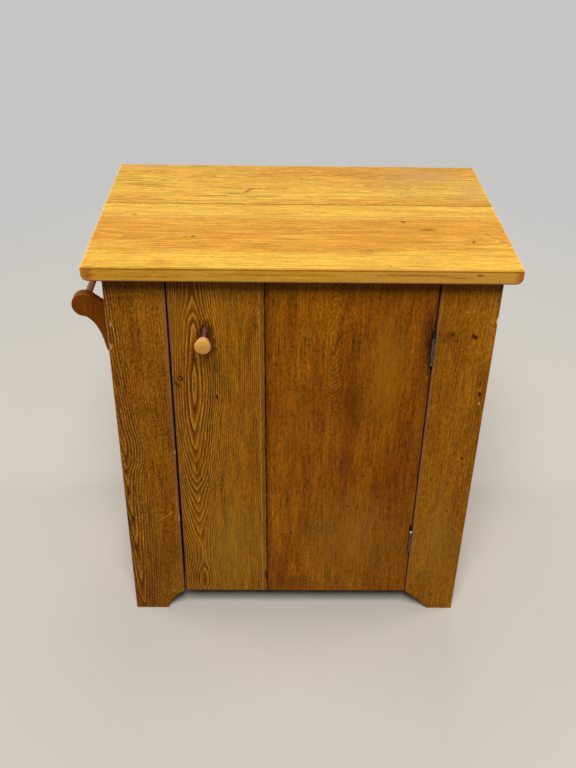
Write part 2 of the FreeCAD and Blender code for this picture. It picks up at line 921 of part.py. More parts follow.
def ring(radius, start, thickness):
    """A flat ring round the spindle."""
    outer = rod(radius, point(knob_x, start, knob_z), point(knob_x, start + thickness, knob_z))
    bore = rod(
        spindle_radius + spindle_fit,
        point(knob_x, start - overcut, knob_z),
        point(knob_x, start + thickness + overcut, knob_z),
    )
    return outer.cut(bore)


def spindle_collar():
    """The collar that keeps the spindle from sliding in, just clear of the door."""
    front = -latch_running_gap - collar_thickness
    collar = ring(collar_radius, front, collar_thickness)
    wide = 2 * collar_radius - edge_tolerance
    return eased(collar, collar_ease, lambda box: is_at_front(box, front) and box.XLength > wide)


def turn_bar():
    """The wooden bar inside the door; it hangs free and turns behind the stile."""
    half = turn_bar_width / 2
    half_tip = turn_bar_tip_width / 2
    tip_z = knob_z - turn_arm + half_tip
    y = turn_bar_front
    edges = [
        line(point(knob_x + half, y, knob_z), point(knob_x + half_tip, y, tip_z)),
        bowed(point(knob_x + half_tip, y, tip_z), point(knob_x - half_tip, y, tip_z), half_tip, -UP),
        line(point(knob_x - half_tip, y, tip_z), point(knob_x - half, y, knob_z)),
        bowed(point(knob_x - half, y, knob_z), point(knob_x + half, y, knob_z), half, UP),
    ]
    bar = outline_solid(edges, point(0, turn_bar_thickness, 0))
    bore = rod(
        spindle_radius + spindle_fit,
        point(knob_x, y - overcut, knob_z),
        point(knob_x, turn_bar_back + overcut, knob_z),
    )
    return bar.cut(bore)


def latch_nut():
    """The nut that clamps the turn bar to the spindle."""
    corner_radius = nut_flats / 2 / math.cos(math.pi / nut_sides)
    corners = []
    for number in range(nut_sides):
        angle = 2 * math.pi * number / nut_sides
        across = corner_radius * math.cos(angle)
        upward = corner_radius * math.sin(angle)
        corners.append(point(knob_x + across, turn_bar_back, knob_z + upward))
    blank = polygon_solid(corners, point(0, nut_thickness, 0))
    bore = rod(
        spindle_radius + spindle_fit,
        point(knob_x, turn_bar_back - overcut, knob_z),
        point(knob_x, turn_bar_back + nut_thickness + overcut, knob_z),
    )
    return blank.cut(bore)


# ---- Towel rail ----

def bracket_outline(y):
    """The sawn outline of a bracket: straight neck, round lobe, cove and tail."""
    centre = point(towel_rail_x, y, towel_rail_z)
    neck = point(0, y, towel_rail_z)
    gap = neck - centre
    lean = math.acos(bracket_lobe_radius / gap.Length)
    neck_touch = centre + point(math.cos(lean), 0, math.sin(lean)) * bracket_lobe_radius
    turn = math.radians(-bracket_lobe_turn)
    cove_start = centre + point(math.cos(turn), 0, math.sin(turn)) * bracket_lobe_radius
    cove_middle = point(-bracket_cove_width, y, towel_rail_z - bracket_cove_drop)
    waist = point(-bracket_waist_width, y, towel_rail_z - bracket_waist_drop)
    tail = point(-bracket_tail_width, y, towel_rail_z - bracket_tail_drop)
    end = point(0, y, towel_rail_z - bracket_end_drop)
    lobe_left = centre + LEFT * bracket_lobe_radius
    hollow = Part.BSplineCurve()
    hollow.interpolate([cove_start, cove_middle, waist, tail])
    return [
        line(neck, neck_touch),
        Part.Arc(neck_touch, lobe_left, cove_start).toShape(),
        hollow.toShape(),
        line(tail, end),
        line(end, neck),
    ]


def is_bracket_rim(box):
    """True for the edges of a bracket's two faces, but not along the case."""
    return box.YLength < edge_tolerance and box.XMin < -edge_tolerance


def bracket(front, opening_way):
    """One towel rail bracket with its blind hole and counterbored screw holes."""
    body = outline_solid(bracket_outline(front), point(0, bracket_thickness, 0))
    body = eased(body, bracket_ease, is_bracket_rim)
    inner = front + bracket_thickness if opening_way > 0 else front
    bottom = point(towel_rail_x, inner - opening_way * towel_rail_seat, towel_rail_z)
    mouth = point(towel_rail_x, inner + opening_way * overcut, towel_rail_z)
    body = body.cut(rod(towel_rail_radius + towel_rail_fit, bottom, mouth))
    return bored(body, bracket_screw_holes(front))


def bracket_screw_places(front):
    """Centres of a bracket's screw heads, at the bottom of their counterbores."""
    middle = front + bracket_thickness / 2
    upper = towel_rail_z - bracket_lobe_radius - bracket_screw_drop
    heights = (upper, upper - bracket_screw_pitch)
    return [point(-bracket_screw_seat, middle, height) for height in heights]


def bracket_screw_holes(front):
    """Counterbored holes through a bracket into the case."""
    places = bracket_screw_places(front)
    holes = screw_holes(places, RIGHT, hinge_screw_head, hinge_screw_shank, bracket_screw_length)
    radius = hinge_screw_head + screw_hole_slack
    return holes + [rod(radius, at + LEFT * bracket_reach, at) for at in places]


def bracket_screws():
    """The four screws that hold the two brackets."""
    places = bracket_screw_places(front_bracket_front) + bracket_screw_places(rear_bracket_front)
    return screws_at(places, RIGHT, hinge_screw_head, hinge_screw_shank, bracket_screw_length)


def towel_rail():
    """The dowel between the brackets."""
    start = front_bracket_front + bracket_thickness - towel_rail_seat + seat_gap
    end = rear_bracket_front + towel_rail_seat - seat_gap
    front_end = point(towel_rail_x, start, towel_rail_z)
    back_end = point(towel_rail_x, end, towel_rail_z)
    return rod(towel_rail_radius, front_end, back_end)


# ---- Assembly ----

def save(name, shape):
    """Writes one piece, or a group of like pieces, in the part's own frame."""
    moved = shape.copy()
    moved.translate(-footprint_middle)
    moved.exportStep(f"parts/{name}.step")


def save_group(name, solids):
    """Writes identical fasteners as one group of separate solids."""
    save(name, Part.makeCompound(solids))


def build_case():
    """The case's boards."""
    save("left_stile", left_stile())
    save("right_stile", right_stile())
    save("left_side_panel", left_side_panel())
    save("right_side_panel", right_side_panel())
    save("bottom_shelf", shelf(stile_thickness, bottom_shelf_height))
    save("middle_shelf", shelf(middle_shelf_front, middle_shelf_height))
    save("front_top_rail", rail((stile_thickness, front_rail_back)))
    save("rear_top_rail", rail((rear_rail_front, back_front)))
    left_span = (inner_left, inner_left + cleat_thickness)
    right_span = (inner_right - cleat_thickness, inner_right)
    save("left_top_cleat", top_cleat(left_span, left_top_screws, left_cleat_screws, LEFT))
    save("right_top_cleat", top_cleat(right_span, right_top_screws, right_cleat_screws, RIGHT))
    for number in range(back_board_count):
        save(f"back_board_{number + 1}", back_board(number))


def build_top():
    """The top's boards and the screws that hold it."""
    joint_front = top_joint - top_joint_gap / 2
    joint_back = top_joint + top_joint_gap / 2
    save("top_front_board", top_board((top_front - overcut, joint_front)))
    save("top_rear_board", top_board((joint_back, top_back + overcut)))
    places = left_top_screws + right_top_screws
    save_group("top_screws", screws_at(places, UP, wood_screw_head, wood_screw_shank, top_screw_length))
    screws = screws_at(left_cleat_screws, LEFT, wood_screw_head, wood_screw_shank, wood_screw_length)
    screws += screws_at(right_cleat_screws, RIGHT, wood_screw_head, wood_screw_shank, wood_screw_length)
    save_group("cleat_screws", screws)


def build_nails():
    """The case's cut nails."""
    save_group("stile_nails", nails_at(left_stile_nails + right_stile_nails, BACKWARD))
    side_nails = nails_at(side_nail_places(0), RIGHT)
    side_nails += nails_at(side_nail_places(case_width), LEFT)
    save_group("side_nails", side_nails)
    save_group("back_board_nails", nails_at(back_nail_places(), FORWARD, back_nail_length))


def build_door():
    """The door's boards, battens and screws."""
    save("door_narrow_board", narrow_board())
    save("door_wide_board", wide_board())
    save("door_lower_batten", batten(lower_batten_bottom))
    save("door_upper_batten", batten(upper_batten_bottom))
    screws = screws_at(batten_screws, FORWARD, wood_screw_head, wood_screw_shank, wood_screw_length)
    save_group("door_batten_screws", screws)


def build_hinges():
    """The two butt hinges."""
    for name, middle in (("upper", upper_hinge_middle), ("lower", lower_hinge_middle)):
        save(f"{name}_hinge_frame_leaf", hinge_leaf(middle, True))
        save(f"{name}_hinge_door_leaf", hinge_leaf(middle, False))
        save(f"{name}_hinge_pin", hinge_pin(middle))
        save_group(f"{name}_hinge_frame_screws", hinge_screws(middle, True))
        save_group(f"{name}_hinge_door_screws", hinge_screws(middle, False))


def build_latch():
    """The knob, its spindle and the turn bar inside the door."""
    save("knob", knob())
    save("spindle", spindle())
    save("spindle_collar", spindle_collar())
    save("turn_bar_washer", ring(washer_radius, washer_front, washer_thickness))
    save("turn_bar", turn_bar())
    save("turn_bar_nut", latch_nut())


def build_towel_rail():
    """The rail, its brackets and their screws."""
    save("front_towel_bracket", bracket(front_bracket_front, 1))
    save("rear_towel_bracket", bracket(rear_bracket_front, -1))
    save("towel_rail", towel_rail())
    save_group("towel_bracket_screws", bracket_screws())


os.makedirs("parts", exist_ok=True)
build_case()
build_top()
build_nails()
build_door()
build_hinges()
build_latch()
build_towel_rail()
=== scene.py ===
"""The finished look of the dry sink cabinet: old pine boards under amber varnish.

The frame holds every piece at its real shape, size and place, and none is
modelled again here. This script gives each board the grain it was sawn with,
its knots, stains and worn edges, with some shade, shadow and highlights
painted into its colour, and gives the hinges, screws and nails their aged
metal. It sets the studio and the camera too.
"""

import logging
import math
from dataclasses import dataclass, field, replace
from enum import Enum
from typing import Any

import bmesh
import bpy
from mathutils import Matrix, Vector


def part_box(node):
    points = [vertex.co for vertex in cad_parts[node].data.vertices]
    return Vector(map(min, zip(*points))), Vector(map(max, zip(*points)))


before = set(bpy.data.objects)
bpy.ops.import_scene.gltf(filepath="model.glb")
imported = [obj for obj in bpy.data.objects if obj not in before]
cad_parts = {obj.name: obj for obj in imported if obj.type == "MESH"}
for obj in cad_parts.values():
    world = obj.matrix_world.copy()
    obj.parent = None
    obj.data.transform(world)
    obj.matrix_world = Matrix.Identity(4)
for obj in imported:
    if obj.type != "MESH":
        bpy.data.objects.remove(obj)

LOG = logging.getLogger("cabinet")
PER_METRE = 1000.0  # millimetres in a metre
Pair = tuple[float, float]
Triple = tuple[float, float, float]
Route = tuple[Pair, ...]
Tree = bpy.types.NodeTree
Node = bpy.types.Node
Socket = bpy.types.NodeSocket


def linear(colour: str) -> tuple[float, float, float, float]:
    """Turns an sRGB hex colour into the linear values that a shader takes.

    Args:
        colour: Six hex digits after a hash sign.

    Returns:
        Red, green, blue and an opacity of one.
    """
    parts = [int(colour[start : start + 2], 16) / 255 for start in (1, 3, 5)]
    bright = [part / 12.92 if part <= 0.04045 else ((part + 0.055) / 1.055) ** 2.4 for part in parts]
    return (*bright, 1.0)


def add_node(tree: Tree, kind: str, inputs: dict[Any, Any], **attributes: Any) -> Node:
    """Adds one node to a shader with its settings and links.

    Args:
        tree: The node tree that the node joins.
        kind: The node's type, without the words ShaderNode.
        inputs: What each input holds, by name or number: a value, a socket, or
            a node whose first output feeds it.
        attributes: The node's own settings.

    Returns:
        The new node.
    """
    node = tree.nodes.new("ShaderNode" + kind)
    for name, value in attributes.items():
        setattr(node, name, value)
    for name, value in inputs.items():
        if isinstance(value, Node):
            value = value.outputs[0]
        if isinstance(value, Socket):
            tree.links.new(value, node.inputs[name])
        else:
            node.inputs[name].default_value = value
    return node


def fresh_material(name: str) -> tuple[bpy.types.Material, Tree]:
    """Makes an empty node material.

    Args:
        name: The material's name.

    Returns:
        The material and its node tree, with nothing in it.
    """
    material = bpy.data.materials.new(name)
    material.use_nodes = True
    material.node_tree.nodes.clear()
    return material, material.node_tree


def dress(node: str, material: bpy.types.Material) -> None:
    """Puts one material on every slot of a CAD node.

    Args:
        node: The node's name.
        material: Its new surface.
    """
    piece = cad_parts[node]
    if not piece.material_slots:
        piece.data.materials.append(material)
    for place in piece.material_slots:
        place.material = material
    LOG.info("%s: %s", node, material.name)


# ---- How a board lies ----


class Lay(Enum):
    """Which way a board lies: the directions across it, along it and through it."""

    FRONT = ((1, 0, 0), (0, 0, 1), (0, -1, 0))
    SIDE = ((0, 1, 0), (0, 0, 1), (1, 0, 0))
    LEVEL = ((0, 1, 0), (1, 0, 0), (0, 0, -1))
    RAIL = ((0, 0, 1), (1, 0, 0), (0, 1, 0))
    DEEP = ((1, 0, 0), (0, 1, 0), (0, 0, 1))

    @property
    def turn(self) -> Matrix:
        """The rotation from the frame to the board's own directions."""
        return Matrix(self.value)


@dataclass(frozen=True)
class Blank:
    """A board's own coordinates, in millimetres from its low corner.

    Attributes:
        lay: Which way the board lies.
        corner: The low corner, in metres in the frame.
        size: Width across, length along and thickness through the board.
    """

    lay: Lay
    corner: Vector
    size: Vector

    @classmethod
    def of_node(cls, node: str, lay: Lay) -> "Blank":
        """Reads a board's box from the frame.

        Args:
            node: The board's CAD node.
            lay: Which way it lies.

        Returns:
            The board's own coordinates.
        """
        low, high = (lay.turn @ Vector(corner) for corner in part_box(node))
        first = Vector(map(min, low, high))
        last = Vector(map(max, low, high))
        return cls(lay, first, (last - first) * PER_METRE)

    def coordinates(self, tree: Tree) -> Node:
        """Adds the nodes that give a surface point in the board's own millimetres.

        Args:
            tree: The material's node tree.

        Returns:
            The mapping node.
        """
        where = add_node(tree, "TexCoord", {})
        inputs = {
            "Vector": where.outputs["Object"],
            "Location": -self.corner * PER_METRE,
            "Rotation": self.lay.turn.to_euler("XYZ"),
            "Scale": (PER_METRE,) * 3,
        }
        return add_node(tree, "Mapping", inputs)


# ---- Pine ----

# What lies by chance in the wood, as (width across, length along) in millimetres.
DRIFT: Pair = (60.0, 260.0)
UNEVEN_RINGS: Pair = (26.0, 150.0)
CLOUDS: Pair = (55.0, 230.0)
FINGERS: Pair = (9.0, 190.0)
FIBRES: Pair = (3.6, 52.0)  # far wider than a real fibre, which would be too fine to show
SPOTS: Pair = (3.2, 6.5)
PORES: Pair = (1.5, 9.0)
RAGGED_MARK: Pair = (4.0, 14.0)
RAGGED_EDGE: Pair = (5.0, 30.0)
DULL_PLACES: Pair = (30.0, 110.0)
RIPPLE_WIDTH = 10.0

# One growth ring, from its hard line outwards: share of its width, how hard, how pale.
RING_PROFILE = (
    (0.0, 0.1, 0.5),
    (0.07, 1.0, 0.0),
    (0.2, 0.95, 0.0),
    (0.42, 0.5, 0.0),
    (0.68, 0.1, 0.15),
    (0.88, 0.0, 1.0),
    (1.0, 0.0, 0.9),
)
FAINTEST_RING = 0.75  # how strongly the weakest year's line shows beside the strongest


@dataclass(frozen=True)
class Sawing:
    """How a board was sawn from its log, which draws the grain on its faces.

    Routes are (millimetres along, value) pairs, read as smooth curves.

    Attributes:
        heart: How far across the board the points of the flame lie.
        rise: How many rings the saw has passed on that line.
        rings: Rings to a millimetre close beside it.
        crowding: How many more to a millimetre there are further out.
        shoulder: How far out they have crowded, in millimetres.
        blunt: How blunt the flame's points are, in millimetres.
        slow_wander: How far the grain drifts from straight over a hand's width.
        quick_wander: How far it ripples within a finger's width.
        ripple: The length of one such ripple along the board.
        lean: Rings to a millimetre through the board's thickness.
        reach: How far from the flame the rings stay strongly marked.
        beyond: How strongly they show past that reach, from 0 to 1.
        seed: Sets one board's chance marks apart from the next one's.
    """

    heart: Route = ((0.0, -120.0), (1.0, -120.0))
    rise: Route = ((0.0, 0.0), (1.0, 0.0))
    rings: float = 0.2
    crowding: float = 0.0
    shoulder: float = 15.0
    blunt: float = 3.0
    slow_wander: float = 6.0
    quick_wander: float = 0.8
    ripple: float = 70.0
    lean: float = 0.12
    reach: float = 600.0
    beyond: float = 0.6
    seed: float = 0.0


@dataclass(frozen=True)
class Tone:
    """The colours of old pine, as the varnish has turned them.

    Attributes:
        early: The soft, wide part of each ring.
        late: The hard, dark line that ends it.
        crest: The palest wood beside that line.
        warm: Broad patches where the varnish is thicker.
        pale: Broad patches where it is thinner.
        worn: Edges rubbed by hands and cloths; the same pale band also paints the highlight that eased
            arrises catch.
        pore: Short dark flecks.
        zones: How warm the board is across its width, as (millimetres across,
            0 pale to 1 warm) pairs.
        zone_depth: How strongly those zones show.
        ring_depth: How strongly the late lines show, from 0 to 1.
        patch_depth: How strongly the broad patches show.
        fibre_depth: How much single fibres lighten and darken the colour.
        streak_depth: How much streaks a finger wide do.
        mottle_depth: How much fine spots do.
        fleck_depth: How strongly the short flecks show.
        wear_depth: How strongly the rubbed edges show.
        wear_width: Their width in millimetres.
    """

    early: str = "#a26006"
    late: str = "#5c2b02"
    crest: str = "#c08228"
    warm: str = "#8e4d04"
    pale: str = "#ad700c"
    worn: str = "#a5734a"
    pore: str = "#4a2203"
    zones: Route = ((0.0, 0.5), (1.0, 0.5))
    zone_depth: float = 0.0
    ring_depth: float = 0.85
    patch_depth: float = 0.6
    fibre_depth: float = 0.26
    streak_depth: float = 0.1
    mottle_depth: float = 0.14
    fleck_depth: float = 0.45
    wear_depth: float = 0.55
    wear_width: float = 2.4


class MarkKind(Enum):
    """What a mark on a board is; the value is how hard its edge is, from 0 to 1."""

    STAIN = 0.0
    FLECK = 0.6
    KNOT = 0.85


FLECK = MarkKind.FLECK
KNOT = MarkKind.KNOT


@dataclass(frozen=True)
class Mark:
    """A stain, fleck or knot at one place on a board.

    Attributes:
        across: Its centre, from the board's low edge, in millimetres.
        along: Its centre, from the board's low end.
        width: Its full width across the board.
        length: Its full length along the board.
        colour: What it turns the wood.
        depth: How strongly, from 0 to 1.
        kind: What it is.
        slant: How far it leans, as millimetres across to one along.
        below: Its centre, from the board's face, where it lies on an edge.
        tall: Its full height on that edge; nought goes right through.
    """

    across: float
    along: float
    width: float
    length: float
    colour: str
    depth: float = 0.6
    kind: MarkKind = MarkKind.STAIN
    slant: float = 0.0
    below: float = 0.0
    tall: float = 0.0


Marks = tuple[Mark, ...]


@dataclass(frozen=True)
class Grain:
    """The nodes that draw one board's grain and marks, as they are added.

    Attributes:
        tree: The material's node tree.
        size: The board's width, length and thickness in millimetres.
        sawing: How it was sawn.
        tone: Its colours.
        place: The surface point in the board's own millimetres.
        shifted: The same point, moved by the board's seed.
        parts: The point's distances across, along and through the board.
    """

    tree: Tree
    size: Vector
    sawing: Sawing
    tone: Tone
    place: Node
    shifted: Node
    parts: Node

    def route(self, direction: int, points: Route) -> Node:
        """Adds a smooth curve over the distance across or along the board.

        Args:
            direction: 0 for the distance across, 1 for the distance along.
            points: The curve's (millimetres, value) pairs.

        Returns:
            The node that gives the value.
        """
        length = self.size[direction]
        values = [value for _, value in points]
        low = min(values)
        span = max(max(values) - low, 1e-6)
        inputs = {0: self.parts.outputs[direction], 1: 1 / length}
        share = add_node(self.tree, "Math", inputs, operation="MULTIPLY")
        curve = add_node(self.tree, "FloatCurve", {"Value": share})
        line = curve.mapping.curves[0]
        stops = [(min(max(along / length, 0.0), 1.0), (value - low) / span) for along, value in points]
        line.points[0].location = stops[0]
        line.points[-1].location = stops[-1]
        for stop in stops[1:-1]:
            line.points.new(*stop)
        curve.mapping.update()
        return add_node(self.tree, "Math", {0: curve, 1: span, 2: low}, operation="MULTIPLY_ADD")

    def streaks(self, size: Pair, reach: float) -> Node:
        """Adds streaks of one size along the grain.

        Args:
            size: Width and length of a streak in millimetres.
            reach: The greatest value either side of zero.

        Returns:
            The node that gives the value.
        """
        across, along = size
        sizes = (1 / across, 1 / along, 1 / across)
        stretched = add_node(self.tree, "VectorMath", {0: self.shifted, 1: sizes}, operation="MULTIPLY")
        inputs = {"Vector": stretched, "Scale": 1.0, "Detail": 3.0, "Roughness": 0.6}
        noise = add_node(self.tree, "TexNoise", inputs)
        inputs = {"Value": noise, "From Min": 0.3, "From Max": 0.7, "To Min": -reach, "To Max": reach}
        return add_node(self.tree, "MapRange", inputs)

    def distance_from(self, mark: Mark) -> Socket:
        """Adds the distance from a mark's centre, 1 at its rim.

        Args:
            mark: The mark.

        Returns:
            The distance's socket.
        """
        tree = self.tree
        centre = (mark.across, mark.along, mark.below)
        from_centre = add_node(tree, "VectorMath", {0: self.place, 1: centre}, operation="SUBTRACT")
        parts = add_node(tree, "SeparateXYZ", {0: from_centre})
        inputs = {0: parts.outputs[1], 1: -mark.slant, 2: parts.outputs[0]}
        upright = add_node(tree, "Math", inputs, operation="MULTIPLY_ADD")
        turned = add_node(tree, "CombineXYZ", {0: upright, 1: parts.outputs[1], 2: parts.outputs[2]})
        sizes = (2 / mark.width, 2 / mark.length, 2 / mark.tall if mark.tall else 0.0)
        scaled = add_node(tree, "VectorMath", {0: turned, 1: sizes}, operation="MULTIPLY")
        return add_node(tree, "VectorMath", {0: scaled}, operation="LENGTH").outputs["Value"]

    def ring_count(self) -> tuple[Node, Node]:
        """Adds the nodes that count growth rings out to a surface point.

        Returns:
            The node that gives the count, and the one that gives how strongly
            the rings show there.
        """
        tree, cut = self.tree, self.sawing
        heart = self.route(1, cut.heart)
        rise = self.route(1, cut.rise)
        offset = add_node(tree, "Math", {0: self.parts.outputs[0], 1: heart}, operation="SUBTRACT")
        slow = self.streaks(DRIFT, cut.slow_wander)
        quick = self.streaks((RIPPLE_WIDTH, cut.ripple), cut.quick_wander)
        for wave in (slow, quick):
            offset = add_node(tree, "Math", {0: offset, 1: wave}, operation="ADD")
        distances = []
        for roundness in (cut.blunt, cut.shoulder):
            sides = add_node(tree, "CombineXYZ", {0: offset, 1: roundness})
            distances.append(add_node(tree, "VectorMath", {0: sides}, operation="LENGTH").outputs["Value"])
        apart, crowded = distances
        count = rise
        for distance, rings in (
            (apart, cut.rings),
            (crowded, cut.crowding),
            (self.parts.outputs[2], cut.lean),
        ):
            count = add_node(tree, "Math", {0: distance, 1: rings, 2: count}, operation="MULTIPLY_ADD")
        fading = {"Value": apart, "From Min": cut.reach, "From Max": 1.6 * cut.reach}
        fading.update({"To Min": 1.0, "To Max": cut.beyond})
        shown = add_node(tree, "MapRange", fading, interpolation_type="SMOOTHSTEP")
        uneven = self.streaks(UNEVEN_RINGS, 0.35)
        uneven = add_node(tree, "Math", {0: uneven, 1: 0.8}, operation="ADD")
        return count, add_node(tree, "Math", {0: shown, 1: uneven}, operation="MULTIPLY", use_clamp=True)

    def ring_band(self, rings: Node) -> tuple[Socket, Socket]:
        """Adds each ring's band: a hard dark line with one sharp side, and the palest wood before it.

        Args:
            rings: The ring count.

        Returns:
            The socket that gives 1 on a hard line, and the one that gives 1 in
            the palest wood.
        """
        tree = self.tree
        share = add_node(tree, "Math", {0: rings}, operation="FRACT")
        ramp = add_node(tree, "ValToRGB", {0: share})
        elements = ramp.color_ramp.elements
        for end in (0, -1):
            _, hard, pale = RING_PROFILE[end]
            elements[end].color = (hard, pale, 0.0, 1.0)
        for stop, hard, pale in RING_PROFILE[1:-1]:
            elements.new(stop).color = (hard, pale, 0.0, 1.0)
        whole = add_node(tree, "Math", {0: rings}, operation="FLOOR")
        year = add_node(tree, "TexWhiteNoise", {"W": whole}, noise_dimensions="1D")
        strength = add_node(tree, "MapRange", {"Value": year, "To Min": FAINTEST_RING, "To Max": 1.0})
        parts = add_node(tree, "SeparateColor", {0: ramp})
        hard = add_node(tree, "Math", {0: parts.outputs[0], 1: strength}, operation="MULTIPLY")
        pale = add_node(tree, "Math", {0: parts.outputs[1], 1: strength}, operation="MULTIPLY")
        return hard.outputs[0], pale.outputs[0]

    def wood_colour(self, band: tuple[Socket, Socket], shown: Node, fibres: Node) -> Socket:
        """Adds the colour of the sound wood.

        Args:
            band: How hard and how pale each ring is.
            shown: How strongly the rings show.
            fibres: The fibre streaks.

        Returns:
            The colour's socket.
        """
        tree, tone = self.tree, self.tone
        clouds = self.streaks(CLOUDS, 0.5)
        zone = self.route(0, tone.zones)
        zone = add_node(tree, "Math", {0: 0.5, 1: zone}, operation="SUBTRACT")
        inputs = {0: zone, 1: 2 * tone.zone_depth, 2: clouds}
        warmth = add_node(tree, "Math", inputs, operation="MULTIPLY_ADD")
        inputs = {"Value": warmth, "From Min": -0.5, "From Max": 0.5}
        share = add_node(tree, "MapRange", inputs, interpolation_type="SMOOTHSTEP")
        inputs = {0: share, 6: linear(tone.warm), 7: linear(tone.pale)}
        broad = add_node(tree, "Mix", inputs, data_type="RGBA").outputs[2]
        inputs = {0: tone.patch_depth, 6: linear(tone.early), 7: broad}
        colour = add_node(tree, "Mix", inputs, data_type="RGBA").outputs[2]
        depth = add_node(tree, "Math", {0: shown, 1: tone.ring_depth}, operation="MULTIPLY")
        layers = [add_node(tree, "Math", {0: depth, 1: part}, operation="MULTIPLY") for part in band]
        pores = self.streaks(PORES, 1.0)
        inputs = {"Value": pores, "From Min": 0.45, "From Max": 1.0, "To Max": tone.fleck_depth}
        layers.append(add_node(tree, "MapRange", inputs))
        for layer, wood in zip(layers, (tone.late, tone.crest, tone.pore)):
            inputs = {0: layer, 6: colour, 7: linear(wood)}
            colour = add_node(tree, "Mix", inputs, data_type="RGBA").outputs[2]
        light: Node | float = 1.0
        fingers = self.streaks(FINGERS, 1.0)
        spots = self.streaks(SPOTS, 1.0)
        for pattern, amount in (
            (fibres, tone.fibre_depth),
            (fingers, tone.streak_depth),
            (spots, tone.mottle_depth),
        ):
            light = add_node(tree, "Math", {0: pattern, 1: amount, 2: light}, operation="MULTIPLY_ADD")
        return add_node(tree, "VectorMath", {0: colour, "Scale": light}, operation="SCALE").outputs[0]

    def marked(self, colour: Socket, mark: Mark) -> Socket:
        """Adds one mark over the colour.

        Args:
            colour: The colour so far.
            mark: The mark.

        Returns:
            The new colour's socket.
        """
        rough = self.streaks(RAGGED_MARK, 0.3)
        ragged = add_node(self.tree, "Math", {0: rough, 1: self.distance_from(mark)}, operation="ADD")
        inputs = {"Value": ragged, "From Min": mark.kind.value, "To Min": mark.depth, "To Max": 0.0}
        shown = add_node(self.tree, "MapRange", inputs, interpolation_type="SMOOTHSTEP")
        inputs = {0: shown, 6: colour, 7: linear(mark.colour)}
        return add_node(self.tree, "Mix", inputs, data_type="RGBA").outputs[2]

    def rubbed(self, colour: Socket) -> Socket:
        """Adds the pale wear along the board's arrises, where two of its faces meet, which also paints the
        highlight that eased arrises catch.

        Args:
            colour: The colour so far.

        Returns:
            The new colour's socket.
        """
        tree, width = self.tree, self.tone.wear_width
        reaches = []
        for number, reach in enumerate(self.size):
            inward = add_node(tree, "Math", {0: reach, 1: self.parts.outputs[number]}, operation="SUBTRACT")
            inputs = {0: inward, 1: self.parts.outputs[number]}
            reaches.append(add_node(tree, "Math", inputs, operation="MINIMUM"))
        least = add_node(tree, "Math", {0: reaches[0], 1: reaches[1]}, operation="MINIMUM")
        most = add_node(tree, "Math", {0: reaches[0], 1: reaches[1]}, operation="MAXIMUM")
        within = add_node(tree, "Math", {0: most, 1: reaches[2]}, operation="MINIMUM")
        nearest = add_node(tree, "Math", {0: least, 1: within}, operation="MAXIMUM")
        rough = self.streaks(RAGGED_EDGE, 0.6 * width)
        ragged = add_node(tree, "Math", {0: rough, 1: nearest}, operation="ADD")
        inputs = {"Value": ragged, "From Max": width, "To Min": self.tone.wear_depth, "To Max": 0.0}
        inputs = {0: add_node(tree, "MapRange", inputs), 6: colour, 7: linear(self.tone.worn)}
        return add_node(tree, "Mix", inputs, data_type="RGBA").outputs[2]


@dataclass(frozen=True)
class Pine:
    """Old pine under shellac varnish, planed by hand.

    Growth rings show as bands whose dark edge is sharp on one side only. The
    soft part has sunk a little between the hard lines, so the varnish lies in
    very shallow furrows, and it is rubbed pale along the edges, a pale band that
    also paints the highlight on the eased arrises.

    Attributes:
        name: The material's name.
        sawing: How the board was sawn.
        tone: Its colours.
        marks: What shows at one place only.
        roughness: How dull the varnish is.
        sheen: Its specular level; old shellac that has sunk in shines little.
        furrow: Depth of the furrows between the hard lines, in millimetres.
    """

    name: str
    sawing: Sawing = Sawing()
    tone: Tone = Tone()
    marks: Marks = ()
    roughness: float = 0.42
    sheen: float = 0.09
    furrow: float = 0.12

    def material(self, blank: Blank) -> bpy.types.Material:
        """Builds the material for one board.

        Args:
            blank: The board's own coordinates.

        Returns:
            The material.
        """
        material, tree = fresh_material(self.name)
        place = blank.coordinates(tree)
        shifted = add_node(tree, "VectorMath", {0: place, 1: (0, 0, self.sawing.seed)}, operation="ADD")
        parts = add_node(tree, "SeparateXYZ", {0: place})
        grain = Grain(tree, blank.size, self.sawing, self.tone, place, shifted, parts)
        rings, shown = grain.ring_count()
        band = grain.ring_band(rings)
        fibres = grain.streaks(FIBRES, 1.0)
        colour = grain.rubbed(grain.wood_colour(band, shown, fibres))
        for mark in self.marks:
            colour = grain.marked(colour, mark)
        height = add_node(tree, "Math", {0: fibres, 1: 0.5, 2: band[0]}, operation="MULTIPLY_ADD")
        furrows = {"Strength": 0.6, "Distance": self.furrow / PER_METRE, "Height": height}
        gloss = grain.streaks(DULL_PLACES, 0.08)
        varnish = {
            "Base Color": colour,
            "Roughness": add_node(tree, "Math", {0: gloss, 1: self.roughness}, operation="ADD"),
            "Normal": add_node(tree, "Bump", furrows),
            "IOR": 1.5,
            "Specular IOR Level": self.sheen,
        }
        add_node(tree, "OutputMaterial", {"Surface": add_node(tree, "BsdfPrincipled", varnish)})
        return material

    def dress(self, node: str, lay: Lay) -> None:
        """Puts the surface on the board of this node, which lies this way."""
        dress(node, self.material(Blank.of_node(node, lay)))


# ---- Metals ----


@dataclass(frozen=True)
class Patch:
    """A round place on a metal piece that has another colour.

    Attributes:
        place: Its centre in millimetres.
        reach: Its radius in millimetres.
        colour: What shows there, rubbed metal or old varnish.
    """

    place: Vector
    reach: float = 6.0
    colour: str = "#f2dcb0"


